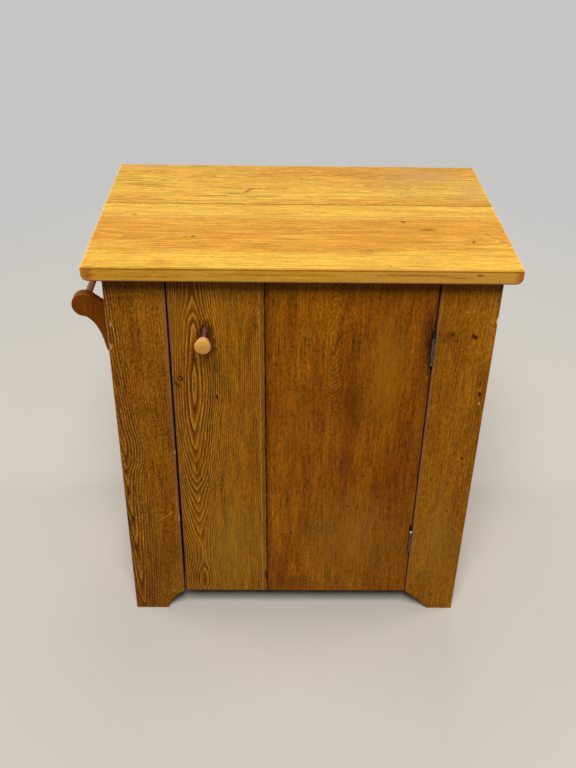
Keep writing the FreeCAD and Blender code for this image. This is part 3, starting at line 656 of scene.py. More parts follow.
@dataclass(frozen=True)
class OldMetal:
    """Cast or drawn metal that has darkened unevenly with age and handling.

    The bright metal shows only where it is rubbed; the rest is a dull skin,
    which breaks up the reflections.

    Attributes:
        name: The material's name.
        bright: The rubbed metal.
        tarnish: The dull skin over it.
        cover: How much of the surface the skin covers, from 0 to 1.
        grain: Size of the spots in millimetres.
        roughness: How dull the rubbed metal is.
        patches: Places where the skin has come off, or varnish lies on it.
    """

    name: str
    bright: str
    tarnish: str
    cover: float
    grain: float
    roughness: float
    patches: tuple[Patch, ...] = ()

    def material(self) -> bpy.types.Material:
        """Builds the material, the same for every piece of this metal.

        Returns:
            The material.
        """
        material, tree = fresh_material(self.name)
        where = add_node(tree, "TexCoord", {}).outputs["Object"]
        place = add_node(tree, "Mapping", {"Vector": where, "Scale": (PER_METRE / self.grain,) * 3})
        spots = add_node(tree, "TexNoise", {"Vector": place, "Scale": 1.0, "Detail": 5.0, "Roughness": 0.6})
        bare = 0.62 - 0.3 * self.cover  # the noise is seldom above 0.65 or below 0.35
        skin = add_node(tree, "MapRange", {"Value": spots, "From Min": bare, "From Max": bare + 0.06})
        inputs = {0: skin, 6: linear(self.bright), 7: linear(self.tarnish)}
        colour = add_node(tree, "Mix", inputs, data_type="RGBA").outputs[2]
        for patch in self.patches:
            inputs = {0: where, 1: patch.place / PER_METRE}
            apart = add_node(tree, "VectorMath", inputs, operation="DISTANCE").outputs["Value"]
            near = add_node(tree, "Math", {0: apart, 1: patch.reach / PER_METRE}, operation="LESS_THAN")
            inputs = {0: near, 6: colour, 7: linear(patch.colour)}
            colour = add_node(tree, "Mix", inputs, data_type="RGBA").outputs[2]
        dulled = {"Value": skin, "To Min": self.roughness, "To Max": self.roughness + 0.3}
        pitted = {"Strength": 0.35, "Distance": 0.15 / PER_METRE, "Height": spots}
        metal = {
            "Base Color": colour,
            "Metallic": add_node(tree, "MapRange", {"Value": skin, "To Min": 1.0, "To Max": 0.45}),
            "Roughness": add_node(tree, "MapRange", dulled),
            "Normal": add_node(tree, "Bump", pitted),
        }
        add_node(tree, "OutputMaterial", {"Surface": add_node(tree, "BsdfPrincipled", metal)})
        return material


# ---- The cabinet's own boards ----

AMBER = Tone()  # shellac gone deep honey brown
# The same on the narrow door board, whose hard lines stand out strongly.
NARROW_AMBER = replace(
    AMBER,
    late="#4c2101", crest="#ca8e34", ring_depth=0.95,
    zones=((0.0, 0.9), (30.0, 0.6), (60.0, 0.35), (110.0, 0.1), (150.0, 0.35), (163.0, 0.3)),
    zone_depth=0.3, fibre_depth=0.4, mottle_depth=0.26,
)
# Redder and more even, with fine short streaks.
WIDE_AMBER = replace(
    AMBER,
    early="#985404", late="#5c2a03", warm="#7e3e02", pale="#b06c0a", ring_depth=0.46, fibre_depth=0.36,
    mottle_depth=0.38,
)
# Browner, with a fine spotted figure.
LEFT_AMBER = replace(
    AMBER,
    early="#9a5b08", late="#4c2102", crest="#be8230", warm="#814403", pale="#a46a0e", ring_depth=1.0,
    fibre_depth=0.34, mottle_depth=0.5,
)
# Lighter and plain, with many dark pores.
RIGHT_AMBER = replace(
    AMBER,
    early="#a86609", warm="#8c4c04", pale="#b27211", ring_depth=0.45, fibre_depth=0.2,
    mottle_depth=0.38, fleck_depth=0.7,
)
# Oiled and scrubbed often, so it has stayed a bright warm gold.
TOP_GOLD = Tone(
    early="#f0b03c", late="#b87420", crest="#ffd868", warm="#e49c34", pale="#fcc84e", pore="#8a5514",
    ring_depth=0.5, patch_depth=0.85, fibre_depth=0.2, streak_depth=0.15, mottle_depth=0.12,
    fleck_depth=0.25, wear_depth=0.0, zone_depth=0.45,
)
# Never varnished: greyed and dusty.
BARE = Tone(
    early="#a8824f", late="#71502b", crest="#bd9a68", warm="#8d683a", pale="#b08c5e", worn="#98794f",
    pore="#4d351c", ring_depth=0.6, fibre_depth=0.15, fleck_depth=0.3, wear_depth=0.25,
)

LONG = 3000  # longer than any board, so that a mark runs its whole length

OLD_HOLE = "#451804"
GRIME = "#3c1c06"
# hand grime with the knob's soft shadow painted into it
KNOB_SHADOW_AND_HAND_GRIME = "#552603"
RUBBED_TOP = "#f4d9b4"


@dataclass
class Top:
    """The plank top, in two boards that run across the cabinet.

    Attributes:
        front: How the front board was sawn.
        rear: How the rear board was.
        front_zones: Paler and warmer bands across the front board.
        rear_zones: The same across the rear board.
        front_marks: Knots, stains and wear on the front board, with painted shade and a painted highlight
            on its front edge.
        rear_marks: The same on the rear board.
        ends: Wear that both boards share.
    """

    front: Sawing = Sawing(
        heart=((0.0, 118.0), (300.0, 124.0), (712.0, 112.0)),
        rise=((0.0, 0.0), (250.0, 2.2), (480.0, 1.4), (712.0, 4.0)),
        rings=0.05, crowding=0.08, shoulder=40.0, blunt=14.0, slow_wander=9.0, quick_wander=2.2,
        ripple=46.0, seed=11.0,
    )
    rear: Sawing = Sawing(
        heart=((0.0, 250.0), (712.0, 240.0)),
        rise=((0.0, 0.0), (712.0, 2.0)),
        rings=0.12, slow_wander=14.0, quick_wander=3.0, ripple=60.0, seed=29.0,
    )
    front_zones: Route = (
        (0.0, 0.1), (38.0, 0.1), (62.0, 0.55), (90.0, 0.9),
        (165.0, 0.95), (205.0, 0.6), (218.0, 0.0), (264.0, 0.1),
    )
    rear_zones: Route = ((0.0, 0.8), (30.0, 0.45), (60.0, 0.2), (120.0, 0.5), (202.0, 0.75))
    front_marks: Marks = (
        # pin knots, and one larger knot with its halo
        Mark(189, 537, 6, 11, "#4c2408", 0.95, FLECK, slant=-0.12),
        Mark(156, 577, 24, 70, "#bf7428", 0.7),
        Mark(156, 577, 8, 30, "#6b3a10", 0.95),
        Mark(108, 648, 6, 8, "#7a4210", 0.9, FLECK),
        Mark(137, 679, 3, 9, "#8a5218", 0.7, FLECK),
        Mark(121, 172, 6, 10, "#7a4210", 0.95, FLECK),
        Mark(120, 158, 4, 8, "#96591a", 0.8, FLECK),
        Mark(212, 62, 5, 16, "#a56a22", 0.8, FLECK),
        Mark(10, 497, 4, 8, "#8a5218", 0.9, FLECK),
        # old stains
        Mark(66, 462, 30, 46, "#c88a3c", 0.7),
        Mark(72, 470, 9, 16, "#b06c2a", 0.6),
        Mark(20, 128, 54, 66, "#d8943e", 0.8),
        Mark(120, 75, 60, 60, "#e09c40", 0.6),
        # bright and dark lines beside the joint
        Mark(204, 356, 5, LONG, "#ffe488", 0.6),
        Mark(209, 356, 4, LONG, "#cf9638", 0.7),
        Mark(263, 356, 5, LONG, "#a87a28", 0.8),
        # the front edge: its face painted darker than the top as painted shade, a little paler towards the
        # right end, a dark line just under the arris, and the dark grain that runs out on the face
        Mark(0, 356, 6, 2 * LONG, "#c27c08", 0.6, FLECK),
        Mark(0, 600, 6, 420, "#e0a040", 0.7, FLECK),
        Mark(0, 356, 6, 2 * LONG, "#8f5c10", 0.7, FLECK, below=3.2, tall=3),
        Mark(0, 540, 7, 190, "#94560e", 0.7, below=10, tall=7),
        Mark(0, 606, 7, 90, "#8a5010", 0.6, below=14, tall=5),
        Mark(0, 300, 7, 260, "#94560e", 0.6, below=12, tall=5),
        Mark(0, 90, 7, 220, "#a2661a", 0.6, below=16, tall=5),
        Mark(0, 640, 9, 14, "#6d3a0c", 0.8, FLECK, below=9, tall=4),
        # its corners, and a pale line painted along the lower arris as a painted highlight
        Mark(0, 12, 26, 30, "#a4541e", 0.8, below=14, tall=44),
        Mark(0, 706, 26, 26, "#b05c20", 0.8, below=14, tall=44),
        Mark(1, 356, 12, LONG, "#d09a68", 0.95, below=26, tall=11),
    )
    rear_marks: Marks = (
        # a slanting knot with its stain
        Mark(68, 262, 16, 34, "#a8641f", 0.95, slant=1.2),
        Mark(50, 235, 16, 60, "#b47c34", 0.7),
        Mark(36, 268, 34, 40, "#cb8c40", 0.55),
        # dark grain at the left
        Mark(38, 200, 8, 130, "#9a7030", 0.8),
        Mark(14, 170, 5, 160, "#a07028", 0.7),
        Mark(82, 96, 4, 90, "#8a500c", 0.95),
        Mark(92, 60, 14, 150, "#c07a24", 0.8),
        Mark(110, 40, 8, 90, "#c98028", 0.7),
        # grime in the joint, and places bleached by scrubbing
        Mark(20, 360, 4, 420, "#b97a24", 0.5),
        Mark(0, 356, 7, LONG, "#94692a", 0.9),
        Mark(150, 610, 90, 220, "#dea468", 0.7),
        Mark(110, 560, 200, 330, "#cc9850", 0.4),
        Mark(70, 680, 120, 90, "#dca468", 0.6),
        Mark(190, 60, 20, 180, "#e0b080", 0.4),
        Mark(200, 200, 7, 700, RUBBED_TOP, 0.7),
    )
    ends: Marks = (
        # both sawn ends are rubbed pale along the top
        Mark(132, 0, 2400, 9, RUBBED_TOP, 0.9, below=1, tall=8),
        Mark(132, 712, 2400, 9, RUBBED_TOP, 0.8, below=1, tall=8),
    )

    def build(self) -> None:
        """Dresses both boards."""
        for node, cut, zones, marks, depth in (
            ("top_front_board", self.front, self.front_zones, self.front_marks, 0.3),
            ("top_rear_board", self.rear, self.rear_zones, self.rear_marks, 0.6),
        ):
            tone = replace(TOP_GOLD, zones=zones, ring_depth=depth)
            pine = Pine(node.replace("_", " ") + " pine", cut, tone, marks + self.ends)
            pine.dress(node, Lay.LEVEL)


@dataclass
class Case:
    """The case: two stiles in front, two sides, the back, shelves, rails and cleats.

    Attributes:
        left_stile: How the left stile was sawn.
        right_stile: How the right stile was.
        side: How the two sides were.
        inner: How the shelves, rails and cleats were.
        back_lap: How far each back board laps over the next, in millimetres.
        back_boards: How many back boards there are.
        bare_nails: Places where a nail head is rubbed bright, from the left foot.
        left_marks: Stains, chips and wear on the left stile, with a painted highlight down its right edge.
        right_marks: The same on the right stile, with painted light from the floor low down and a painted
            highlight beside the door.
    """

    left_stile: Sawing = Sawing(
        heart=(
            (0.0, 17.0), (55.0, 15.0), (160.0, 15.0), (237.0, 13.0), (316.0, 9.0), (364.0, 9.0),
            (391.0, 11.0), (470.0, 0.0), (600.0, -14.0), (774.0, -22.0),
        ),
        rise=(
            (0.0, 7.6), (55.0, 6.55), (160.0, 5.55), (237.0, 4.55), (316.0, 3.55), (364.0, 2.55),
            (391.0, 1.55), (470.0, 0.6), (774.0, 0.0),
        ),
        rings=0.1, crowding=0.11, shoulder=10.0, blunt=2.0, slow_wander=1.6, quick_wander=0.7,
        ripple=50.0, reach=28.0, beyond=0.3, seed=3.0,
    )
    right_stile: Sawing = Sawing(
        heart=((0.0, 160.0), (776.0, 175.0)), rings=0.2, slow_wander=5.0, quick_wander=1.6, seed=7.0
    )
    side: Sawing = Sawing(
        heart=((0.0, 190.0), (400.0, 215.0), (776.0, 180.0)),
        rise=((0.0, 9.0), (300.0, 2.0), (776.0, 12.0)),
        rings=0.06, crowding=0.12, shoulder=40.0, reach=90.0, seed=40.0,
    )
    inner: Sawing = Sawing(
        heart=((0.0, 70.0), (600.0, 60.0)),
        rise=((0.0, 0.0), (300.0, 3.0), (600.0, 9.0)),
        rings=0.12, seed=60.0,
    )
    back_lap: float = 8.0
    back_boards: int = 4
    bare_nails: tuple[Triple, ...] = ((79.6, 0.0, 48.5), (606.8, 0.0, 711.0))
    left_marks: Marks = (
        # dark curls where the flame runs out at the left edge
        Mark(8, 391, 8, 12, GRIME, 0.6),
        Mark(6, 364, 12, 14, GRIME, 0.75),
        Mark(9, 314, 14, 15, GRIME, 0.9, slant=0.4),
        Mark(7, 520, 5, 60, "#6b2c04", 0.8),
        Mark(1, 240, 10, 190, GRIME, 0.8),
        Mark(5, 236, 9, 50, GRIME, 0.7, slant=-0.12),
        Mark(10, 168, 10, 34, GRIME, 0.75, slant=-0.25),
        Mark(1, 104, 7, 80, GRIME, 0.7),
        Mark(6, 40, 34, 130, "#7a3812", 0.55),
        # a scratch, then chips and rubbed places along both edges; the band down the right edge is wear
        # with the highlight of its eased arris painted in
        Mark(74, 252, 3.4, 24, "#d09a58", 0.75, FLECK, slant=1.3),
        Mark(86, 262, 3.4, 12, "#d09a58", 0.6, FLECK, slant=0.7),
        Mark(8, 683, 5, 14, "#d39a5c", 0.8, FLECK),
        Mark(4, 639, 6, 16, "#cf9459", 0.8, FLECK, below=19, tall=9),
        Mark(0, 540, 4, 400, "#b98c50", 0.7, below=19, tall=9),
        Mark(100, 387, 10, LONG, "#8f6844", 0.6),
        Mark(101, 410, 4, 12, "#e0b890", 0.9, FLECK, below=19, tall=9),
        Mark(101, 250, 4, 22, "#d8a880", 0.8, FLECK, below=19, tall=9),
        # more varnish towards the foot
        Mark(50, 120, 130, 300, "#6a3608", 0.3),
    )
    right_marks: Marks = (
        # an old hole, with splashes beside it
        Mark(66, 663, 11, 13, OLD_HOLE, 0.95, FLECK, slant=-0.3),
        Mark(22, 662, 40, 40, "#6d3606", 0.7),
        Mark(28, 668, 8, 10, "#4c2403", 0.8, FLECK),
        Mark(36, 655, 7, 8, "#4c2403", 0.7, FLECK),
        # a knot that has split at the right edge
        Mark(88, 567, 8, 18, OLD_HOLE, 0.9),
        Mark(89.5, 545, 8, 11, OLD_HOLE, 0.95, FLECK),
        Mark(89.5, 554, 5, 5, "#d8944c", 0.9, FLECK),
        Mark(91.5, 525, 4.5, 8, "#e6b478", 0.9, FLECK),
        Mark(96, 560, 12, 160, "#8c4312", 0.7),
        # rubbed edge, a resin streak and a chip
        Mark(93, 700, 4, 200, "#c98e48", 0.6),
        Mark(89, 240, 8, 60, "#b8480a", 0.8),
        Mark(101, 694, 5, 14, "#f4d8a8", 0.95, FLECK, below=19, tall=9),
        # flecks
        Mark(62, 270, 8, 8, "#5a2c05", 0.9, FLECK),
        Mark(56, 40, 8, 7, "#5a2c05", 0.8, FLECK),
        Mark(76, 400, 9, 6, "#4c2403", 0.9, FLECK),
        # scuffed foot, paler, greyer wood above it painted as light from the floor, and wear beside the
        # door with the highlight of its eased arris painted in
        Mark(30, 20, 50, 60, "#7a4828", 0.5),
        Mark(50, 180, 120, 400, "#b0822e", 0.35),
        Mark(1.5, 390, 8, LONG, "#986843", 0.7),
    )

    def build(self) -> None:
        """Dresses the case's boards and nails."""
        left = Pine("left stile pine", self.left_stile, LEFT_AMBER, self.left_marks)
        left.dress("left_stile", Lay.FRONT)
        right = Pine("right stile pine", self.right_stile, RIGHT_AMBER, self.right_marks)
        right.dress("right_stile", Lay.FRONT)
        for number, node in enumerate(("left_side_panel", "right_side_panel")):
            cut = replace(self.side, seed=self.side.seed + 9.0 * number)
            Pine(node.replace("_", " ") + " pine", cut, LEFT_AMBER).dress(node, Lay.SIDE)
        level = ("bottom_shelf", "middle_shelf")
        rails = ("front_top_rail", "rear_top_rail")
        deep = ("left_top_cleat", "right_top_cleat")
        for nodes, lay in ((level, Lay.LEVEL), (rails, Lay.RAIL), (deep, Lay.DEEP)):
            for number, node in enumerate(nodes):
                cut = replace(self.inner, seed=self.inner.seed + 7.0 * number)
                Pine(f"bare pine {node}", cut, BARE, roughness=0.7).dress(node, lay)
        self.dress_back()
        self.dress_fasteners()

    def dress_back(self) -> None:
        """Dresses the back boards, each cut from another place in the log, with dust in their joints."""
        last = self.back_boards
        for number in range(1, last + 1):
            node = f"back_board_{number}"
            low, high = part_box(node)
            width = PER_METRE * (high[0] - low[0])
            cut = Sawing(
                heart=((0.0, 20.0 + 50.0 * (number % 3)), (776.0, 30.0 + 40.0 * (number % 4))),
                rise=((0.0, 0.0), (120.0 * number, 4.0 - number), (776.0, 14.0 - 5.0 * number)),
                rings=0.1,
                seed=110.0 + 7.0 * number,
            )
            left = Mark(0.0, 388, 5, LONG, GRIME, 0.85 if number > 1 else 0.0, tall=12)
            lapped = width - self.back_lap
            right = Mark(lapped, 388, 5, LONG, GRIME, 0.85 if number < last else 0.0, tall=12)
            foot = Mark(width / 2, 0, 2 * width, 220, "#6a4c2c", 0.5)
            pine = Pine(f"bare pine {node}", cut, BARE, (left, right, foot), roughness=0.7)
            pine.dress(node, Lay.FRONT)

    def dress_fasteners(self) -> None:
        """Gives the nails and screws their metal; varnish has run over the stile nails."""
        foot = PER_METRE * Vector(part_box("left_stile")[0])
        bare = tuple(Patch(foot + Vector(place)) for place in self.bare_nails)
        varnished = OldMetal("varnished nail heads", "#8a5a20", "#6a3c0c", 0.8, 1.2, 0.6, bare)
        dress("stile_nails", varnished.material())
        iron = OldMetal("black nail iron", "#6b625a", "#2a2622", 0.7, 1.2, 0.5).material()
        for node in ("side_nails", "back_board_nails"):
            dress(node, iron)
        steel = OldMetal("dull screw steel", "#8d8880", "#3d3832", 0.5, 0.9, 0.38).material()
        for node in ("top_screws", "cleat_screws", "door_batten_screws", "towel_bracket_screws"):
            dress(node, steel)


@dataclass
class Door:
    """The plank door: a narrow flame-grained board, a wide plain one and two battens.

    Attributes:
        narrow: How the narrow board was sawn.
        wide: How the wide board was.
        joint_lean: How the joint between them leans, as millimetres across to one up.
        narrow_marks: Knots, grime and wear on the narrow board, with the knob's painted shadow, painted
            highlights on its edges and painted light from the floor low down.
        wide_marks: The same on the wide board, with painted light from the floor low down.
    """

    narrow: Sawing = Sawing(
        heart=(
            (0.0, 37.0), (28.0, 39.0), (67.0, 39.5), (105.0, 40.7), (154.0, 37.0), (188.0, 35.7),
            (239.0, 36.1), (268.0, 34.5), (308.0, 36.0), (366.0, 35.6), (410.0, 35.2), (465.0, 37.5),
            (518.0, 39.0), (640.0, 41.0), (722.0, 40.0),
        ),
        rise=(
            (0.0, 10.45), (5.0, 10.3), (28.0, 9.4), (67.0, 10.35), (88.0, 11.0), (108.0, 11.1),
            (130.0, 10.9), (154.5, 10.35), (188.5, 9.35), (213.0, 8.35), (239.0, 7.35), (268.0, 6.35),
            (288.0, 5.35), (308.0, 4.35), (336.0, 3.35), (366.0, 2.35), (410.0, 1.35), (465.0, 0.35),
            (510.0, 0.03), (555.0, 0.35), (590.0, 0.7), (635.0, 1.35), (645.0, 1.85), (655.0, 2.35),
            (675.0, 3.1), (722.0, 3.9),
        ),
        rings=0.08, crowding=0.22, shoulder=30.0, blunt=2.2, slow_wander=1.6, quick_wander=0.8,
        ripple=46.0, lean=0.1, reach=36.0, beyond=0.7, seed=1.0,
    )
    wide: Sawing = Sawing(
        heart=(
            (0.0, 84.0), (150.0, 92.0), (195.0, 104.0), (246.0, 110.0), (320.0, 104.0), (390.0, 116.0),
            (413.0, 119.0), (522.0, 118.0), (584.0, 117.0), (686.0, 121.0), (722.0, 122.0),
        ),
        rise=(
            (0.0, 76.0), (240.0, 48.0), (560.0, 2.0), (600.0, 0.0), (640.0, 1.5), (665.0, 3.5),
            (722.0, 9.0),
        ),
        rings=0.05, crowding=0.22, shoulder=14.0, blunt=4.0, slow_wander=4.0, quick_wander=2.4,
        ripple=14.0, reach=9.0, beyond=0.45, seed=5.0,
    )
    joint_lean: float = -0.0098
    narrow_marks: Marks = (
        # plain wood beside the flame
        Mark(15, 640, 46, 170, "#9a640c", 0.72),
        # a ringed knot
        Mark(9.5, 515, 15, 20, GRIME, 0.8, FLECK),
        Mark(12.0, 518, 13, 19, "#94580e", 1.0, FLECK),
        Mark(14.5, 523, 9.5, 12, GRIME, 1.0, KNOT),
        Mark(14.5, 523, 4, 5, "#a06a20", 1.0, KNOT),
        # flecks, and a chip at the foot of the joint
        Mark(39, 28, 6, 10, "#6b3604", 0.8),
        Mark(77.5, 484, 4.5, 13, GRIME, 0.95, FLECK),
        Mark(70, 484, 4, 9, GRIME, 0.8, FLECK),
        Mark(152, 666, 4, 20, "#4c1608", 0.95, FLECK),
        Mark(165.5, 46, 8, 34, GRIME, 0.95, FLECK, slant=-0.12),
        # hand grime around the knob, with the knob's soft shadow painted into it
        Mark(62, 602, 44, 90, KNOB_SHADOW_AND_HAND_GRIME, 0.8, FLECK),
        Mark(61, 617, 32, 46, "#3a1204", 0.75),
        # paler, greyer wood low down, painted as light from the floor
        Mark(95, 130, 180, 340, "#b8862a", 0.4),
        # the rubbed edge, with the highlight of its eased arris painted in, and the shadow of the joint,
        # then the worn edge beside the stile, also with a painted highlight
        Mark(155.5, 361, 4, LONG, "#bd8f40", 0.7, slant=joint_lean),
        Mark(160, 361, 7, LONG, "#7d560e", 0.6, slant=joint_lean),
        Mark(165.5, 361, 5, LONG, "#4a1f04", 0.9, FLECK, slant=joint_lean),
        Mark(1.5, 361, 11, LONG, "#8a6440", 0.55),
    )
    wide_marks: Marks = (
        # clouds of thicker and thinner varnish
        Mark(158, 470, 52, 220, "#6c3802", 0.8),
        Mark(150, 330, 30, 160, "#744004", 0.6),
        Mark(215, 545, 95, 330, "#a86e12", 0.7),
        Mark(60, 380, 60, 300, "#8a520a", 0.4),
        # grime beside the upper hinge, and wood darker towards the joint, with a dark line in it
        Mark(280, 610, 40, 210, "#6b3408", 0.9, slant=-0.03),
        Mark(287, 590, 30, 180, "#361403", 1.0, slant=-0.03),
        Mark(4, 361, 24, LONG, "#5c2806", 0.7, slant=joint_lean),
        Mark(1.0, 361, 8, LONG, "#3c1302", 1.0, FLECK, slant=joint_lean),
        # paler, greyer wood low down, painted as light from the floor, and darker wood at the foot
        Mark(170, 150, 300, 340, "#a2742a", 0.35),
        Mark(60, 24, 120, 60, "#743c0a", 0.6),
        # flecks
        Mark(218, 254, 6, 7, "#5c3004", 0.8, FLECK),
        Mark(179, 228, 5, 11, "#5c3004", 0.8, FLECK),
        Mark(160, 231, 6, 7, "#5c3004", 0.7, FLECK),
        Mark(52.5, 160, 6, 7, "#5c3004", 0.9, FLECK),
        Mark(9, 100, 5, 8, GRIME, 0.8, FLECK),
    )

    def build(self) -> None:
        """Dresses the door's boards and battens."""
        narrow = Pine("narrow door pine", self.narrow, NARROW_AMBER, self.narrow_marks)
        narrow.dress("door_narrow_board", Lay.FRONT)
        wide = Pine("wide door pine", self.wide, WIDE_AMBER, self.wide_marks)
        wide.dress("door_wide_board", Lay.FRONT)
        for number, node in enumerate(("door_lower_batten", "door_upper_batten")):
            cut = Sawing(heart=((0.0, 30.0), (414.0, 44.0)), rings=0.16, seed=90.0 + 5.0 * number)
            Pine(f"bare pine {node}", cut, BARE, roughness=0.7).dress(node, Lay.RAIL)


@dataclass
class Hinges:
    """The two butt hinges: rolled brass leaves, pins and their screws.

    Varnish has been brushed over both, so they are nearly black with a dull gleam.

    Attributes:
        brass: The leaves and pins.
        screw: The screws.
        darkened_top: How far down each barrel it is painted near black, in millimetres.
        rubbed: A bright place on the lower barrel, in millimetres from its top.
        rubbed_reach: That place's radius.
    """

    brass: OldMetal = OldMetal("dark hinge brass", "#8c7c72", "#241810", 0.6, 1.6, 0.25)
    screw: OldMetal = OldMetal("dark hinge screws", "#7d7568", "#38322b", 0.6, 0.9, 0.4)
    darkened_top: float = 11.0
    rubbed: Vector = field(default_factory=lambda: Vector((0.0, -3.2, -12.5)))
    rubbed_reach: float = 2.4

    def build(self) -> None:
        """Dresses the leaves, pins and screws."""
        steel = self.screw.material()
        for place in ("upper", "lower"):
            low, high = (PER_METRE * Vector(corner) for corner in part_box(f"{place}_hinge_pin"))
            top = Vector(((low.x + high.x) / 2, (low.y + high.y) / 2, high.z))
            # the top of each barrel painted near black
            patches = [Patch(top, self.darkened_top, "#1c0f09")]
            if place == "lower":
                patches.append(Patch(top + self.rubbed, self.rubbed_reach, "#ffeed8"))
            named = replace(self.brass, name=f"dark {place} hinge brass", patches=tuple(patches))
            brass = named.material()
            for piece in ("pin", "frame_leaf", "door_leaf"):
                dress(f"{place}_hinge_{piece}", brass)
            for piece in ("frame_screws", "door_screws"):
                dress(f"{place}_hinge_{piece}", steel)


@dataclass
class Latch:
    """The turned knob on its spindle, and the turn bar inside the door.

    Attributes:
        brass: The spindle, washer and nut, rubbed to a pinkish gleam.
        dull_brass: The collar, brown where nobody rubs it.
    """

    brass: OldMetal = OldMetal("old spindle brass", "#c8a08e", "#8c6658", 0.5, 1.4, 0.35)
    dull_brass: OldMetal = OldMetal("old collar brass", "#84604f", "#45291f", 0.6, 1.4, 0.5)

    def build(self) -> None:
        """Dresses the knob, spindle and turn bar."""
        # Close-grained wood polished by hands: pale gold, with hardly any grain; the pale worn rim also
        # paints its highlight.
        gold = Tone(
            early="#eba63c", late="#b97628", crest="#f8cc70", warm="#dc9638", pale="#f6c060",
            worn="#f8d4a4", ring_depth=0.35, fibre_depth=0.07, streak_depth=0.04,
            mottle_depth=0.04, fleck_depth=0.1, wear_width=1.2,
        )
        # the turned back painted pale pink as a painted highlight
        highlit_turned_back = Mark(14, 15, 2400, 16, "#dfac96", 0.85, KNOT)
        oiled_face = Mark(14, 0, 19, 5, "#d3942a", 0.7, below=14, tall=19)
        # the right rim painted darker as painted shade
        shaded_right_rim = Mark(27, 3, 10, 11, "#b8744c", 0.7)
        cut = Sawing(heart=((0.0, 20.0), (1.0, 20.0)), rings=0.35, slow_wander=1.0, seed=2.0)
        marks = (highlit_turned_back, oiled_face, shaded_right_rim)
        Pine("turned knob wood", cut, gold, marks, sheen=0.5).dress("knob", Lay.DEEP)
        pine = Pine("bare pine turn bar", replace(cut, seed=15.0), BARE, roughness=0.6)
        pine.dress("turn_bar", Lay.FRONT)
        brass = self.brass.material()
        for node in ("spindle", "turn_bar_washer", "turn_bar_nut"):
            dress(node, brass)
        dress("spindle_collar", self.dull_brass.material())


@dataclass
class TowelRail:
    """The rail on the left side and the two sawn brackets that carry it."""

    def build(self) -> None:
        """Dresses the brackets and the rail."""
        # Red-brown stain under the varnish, which hides most of the grain.
        red = Tone(
            early="#7c3c02", late="#5a2802", crest="#8e4e06", warm="#6e3302", pale="#874904",
            worn="#986840", pore="#4a2002", ring_depth=0.25, fibre_depth=0.16, wear_width=1.6,
        )
        cut = Sawing(heart=((0.0, -40.0), (1.0, -40.0)), rings=0.2, slow_wander=2.0, seed=21.0)
        for number, node in enumerate(("front_towel_bracket", "rear_towel_bracket")):
            sawn = replace(cut, seed=21.0 + 8.0 * number)
            Pine(node.replace("_", " ") + " wood", sawn, red).dress(node, Lay.FRONT)
        worn = replace(red, early="#96603c", pale="#b08660", warm="#8a5230")
        Pine("towel rail wood", cut, worn).dress("towel_rail", Lay.DEEP)


# ---- Floor, light and camera ----


def seen_share(tree: Tree, rays: Node) -> Node:
    """Adds the share of a ray that is seen, straight on, in a reflection or through glass.

    Args:
        tree: The node tree.
        rays: Its light path node.

    Returns:
        The node that gives 1 for such rays and 0 for light that bounces.
    """
    inputs = {0: rays.outputs["Is Camera Ray"], 1: rays.outputs["Is Glossy Ray"]}
    share = add_node(tree, "Math", inputs, operation="ADD")
    through = rays.outputs["Is Transmission Ray"]
    return add_node(tree, "Math", {0: share, 1: through}, operation="ADD", use_clamp=True)


@dataclass(frozen=True)
class Lamp:
    """One square softbox, turned towards the middle of the cabinet.

    Attributes:
        name: Its name.
        place: Its place in metres.
        width: Its width in metres.
        watts: Its power.
        mirrored: Whether the varnish reflects it.
    """

    name: str
    place: Triple
    width: float
    watts: float
    mirrored: bool = True

    def hang(self, target: Vector) -> None:
        """Hangs the lamp.

        Args:
            target: What it is turned towards.
        """
        light = bpy.data.lights.new(self.name, "AREA")
        light.size = self.width
        light.energy = self.watts
        lamp = bpy.data.objects.new(self.name, light)
        bpy.context.scene.collection.objects.link(lamp)
        lamp.location = self.place
        lamp.visible_camera = False
        lamp.visible_glossy = self.mirrored
        lamp.rotation_euler = (target - lamp.location).to_track_quat("-Z", "Y").to_euler()


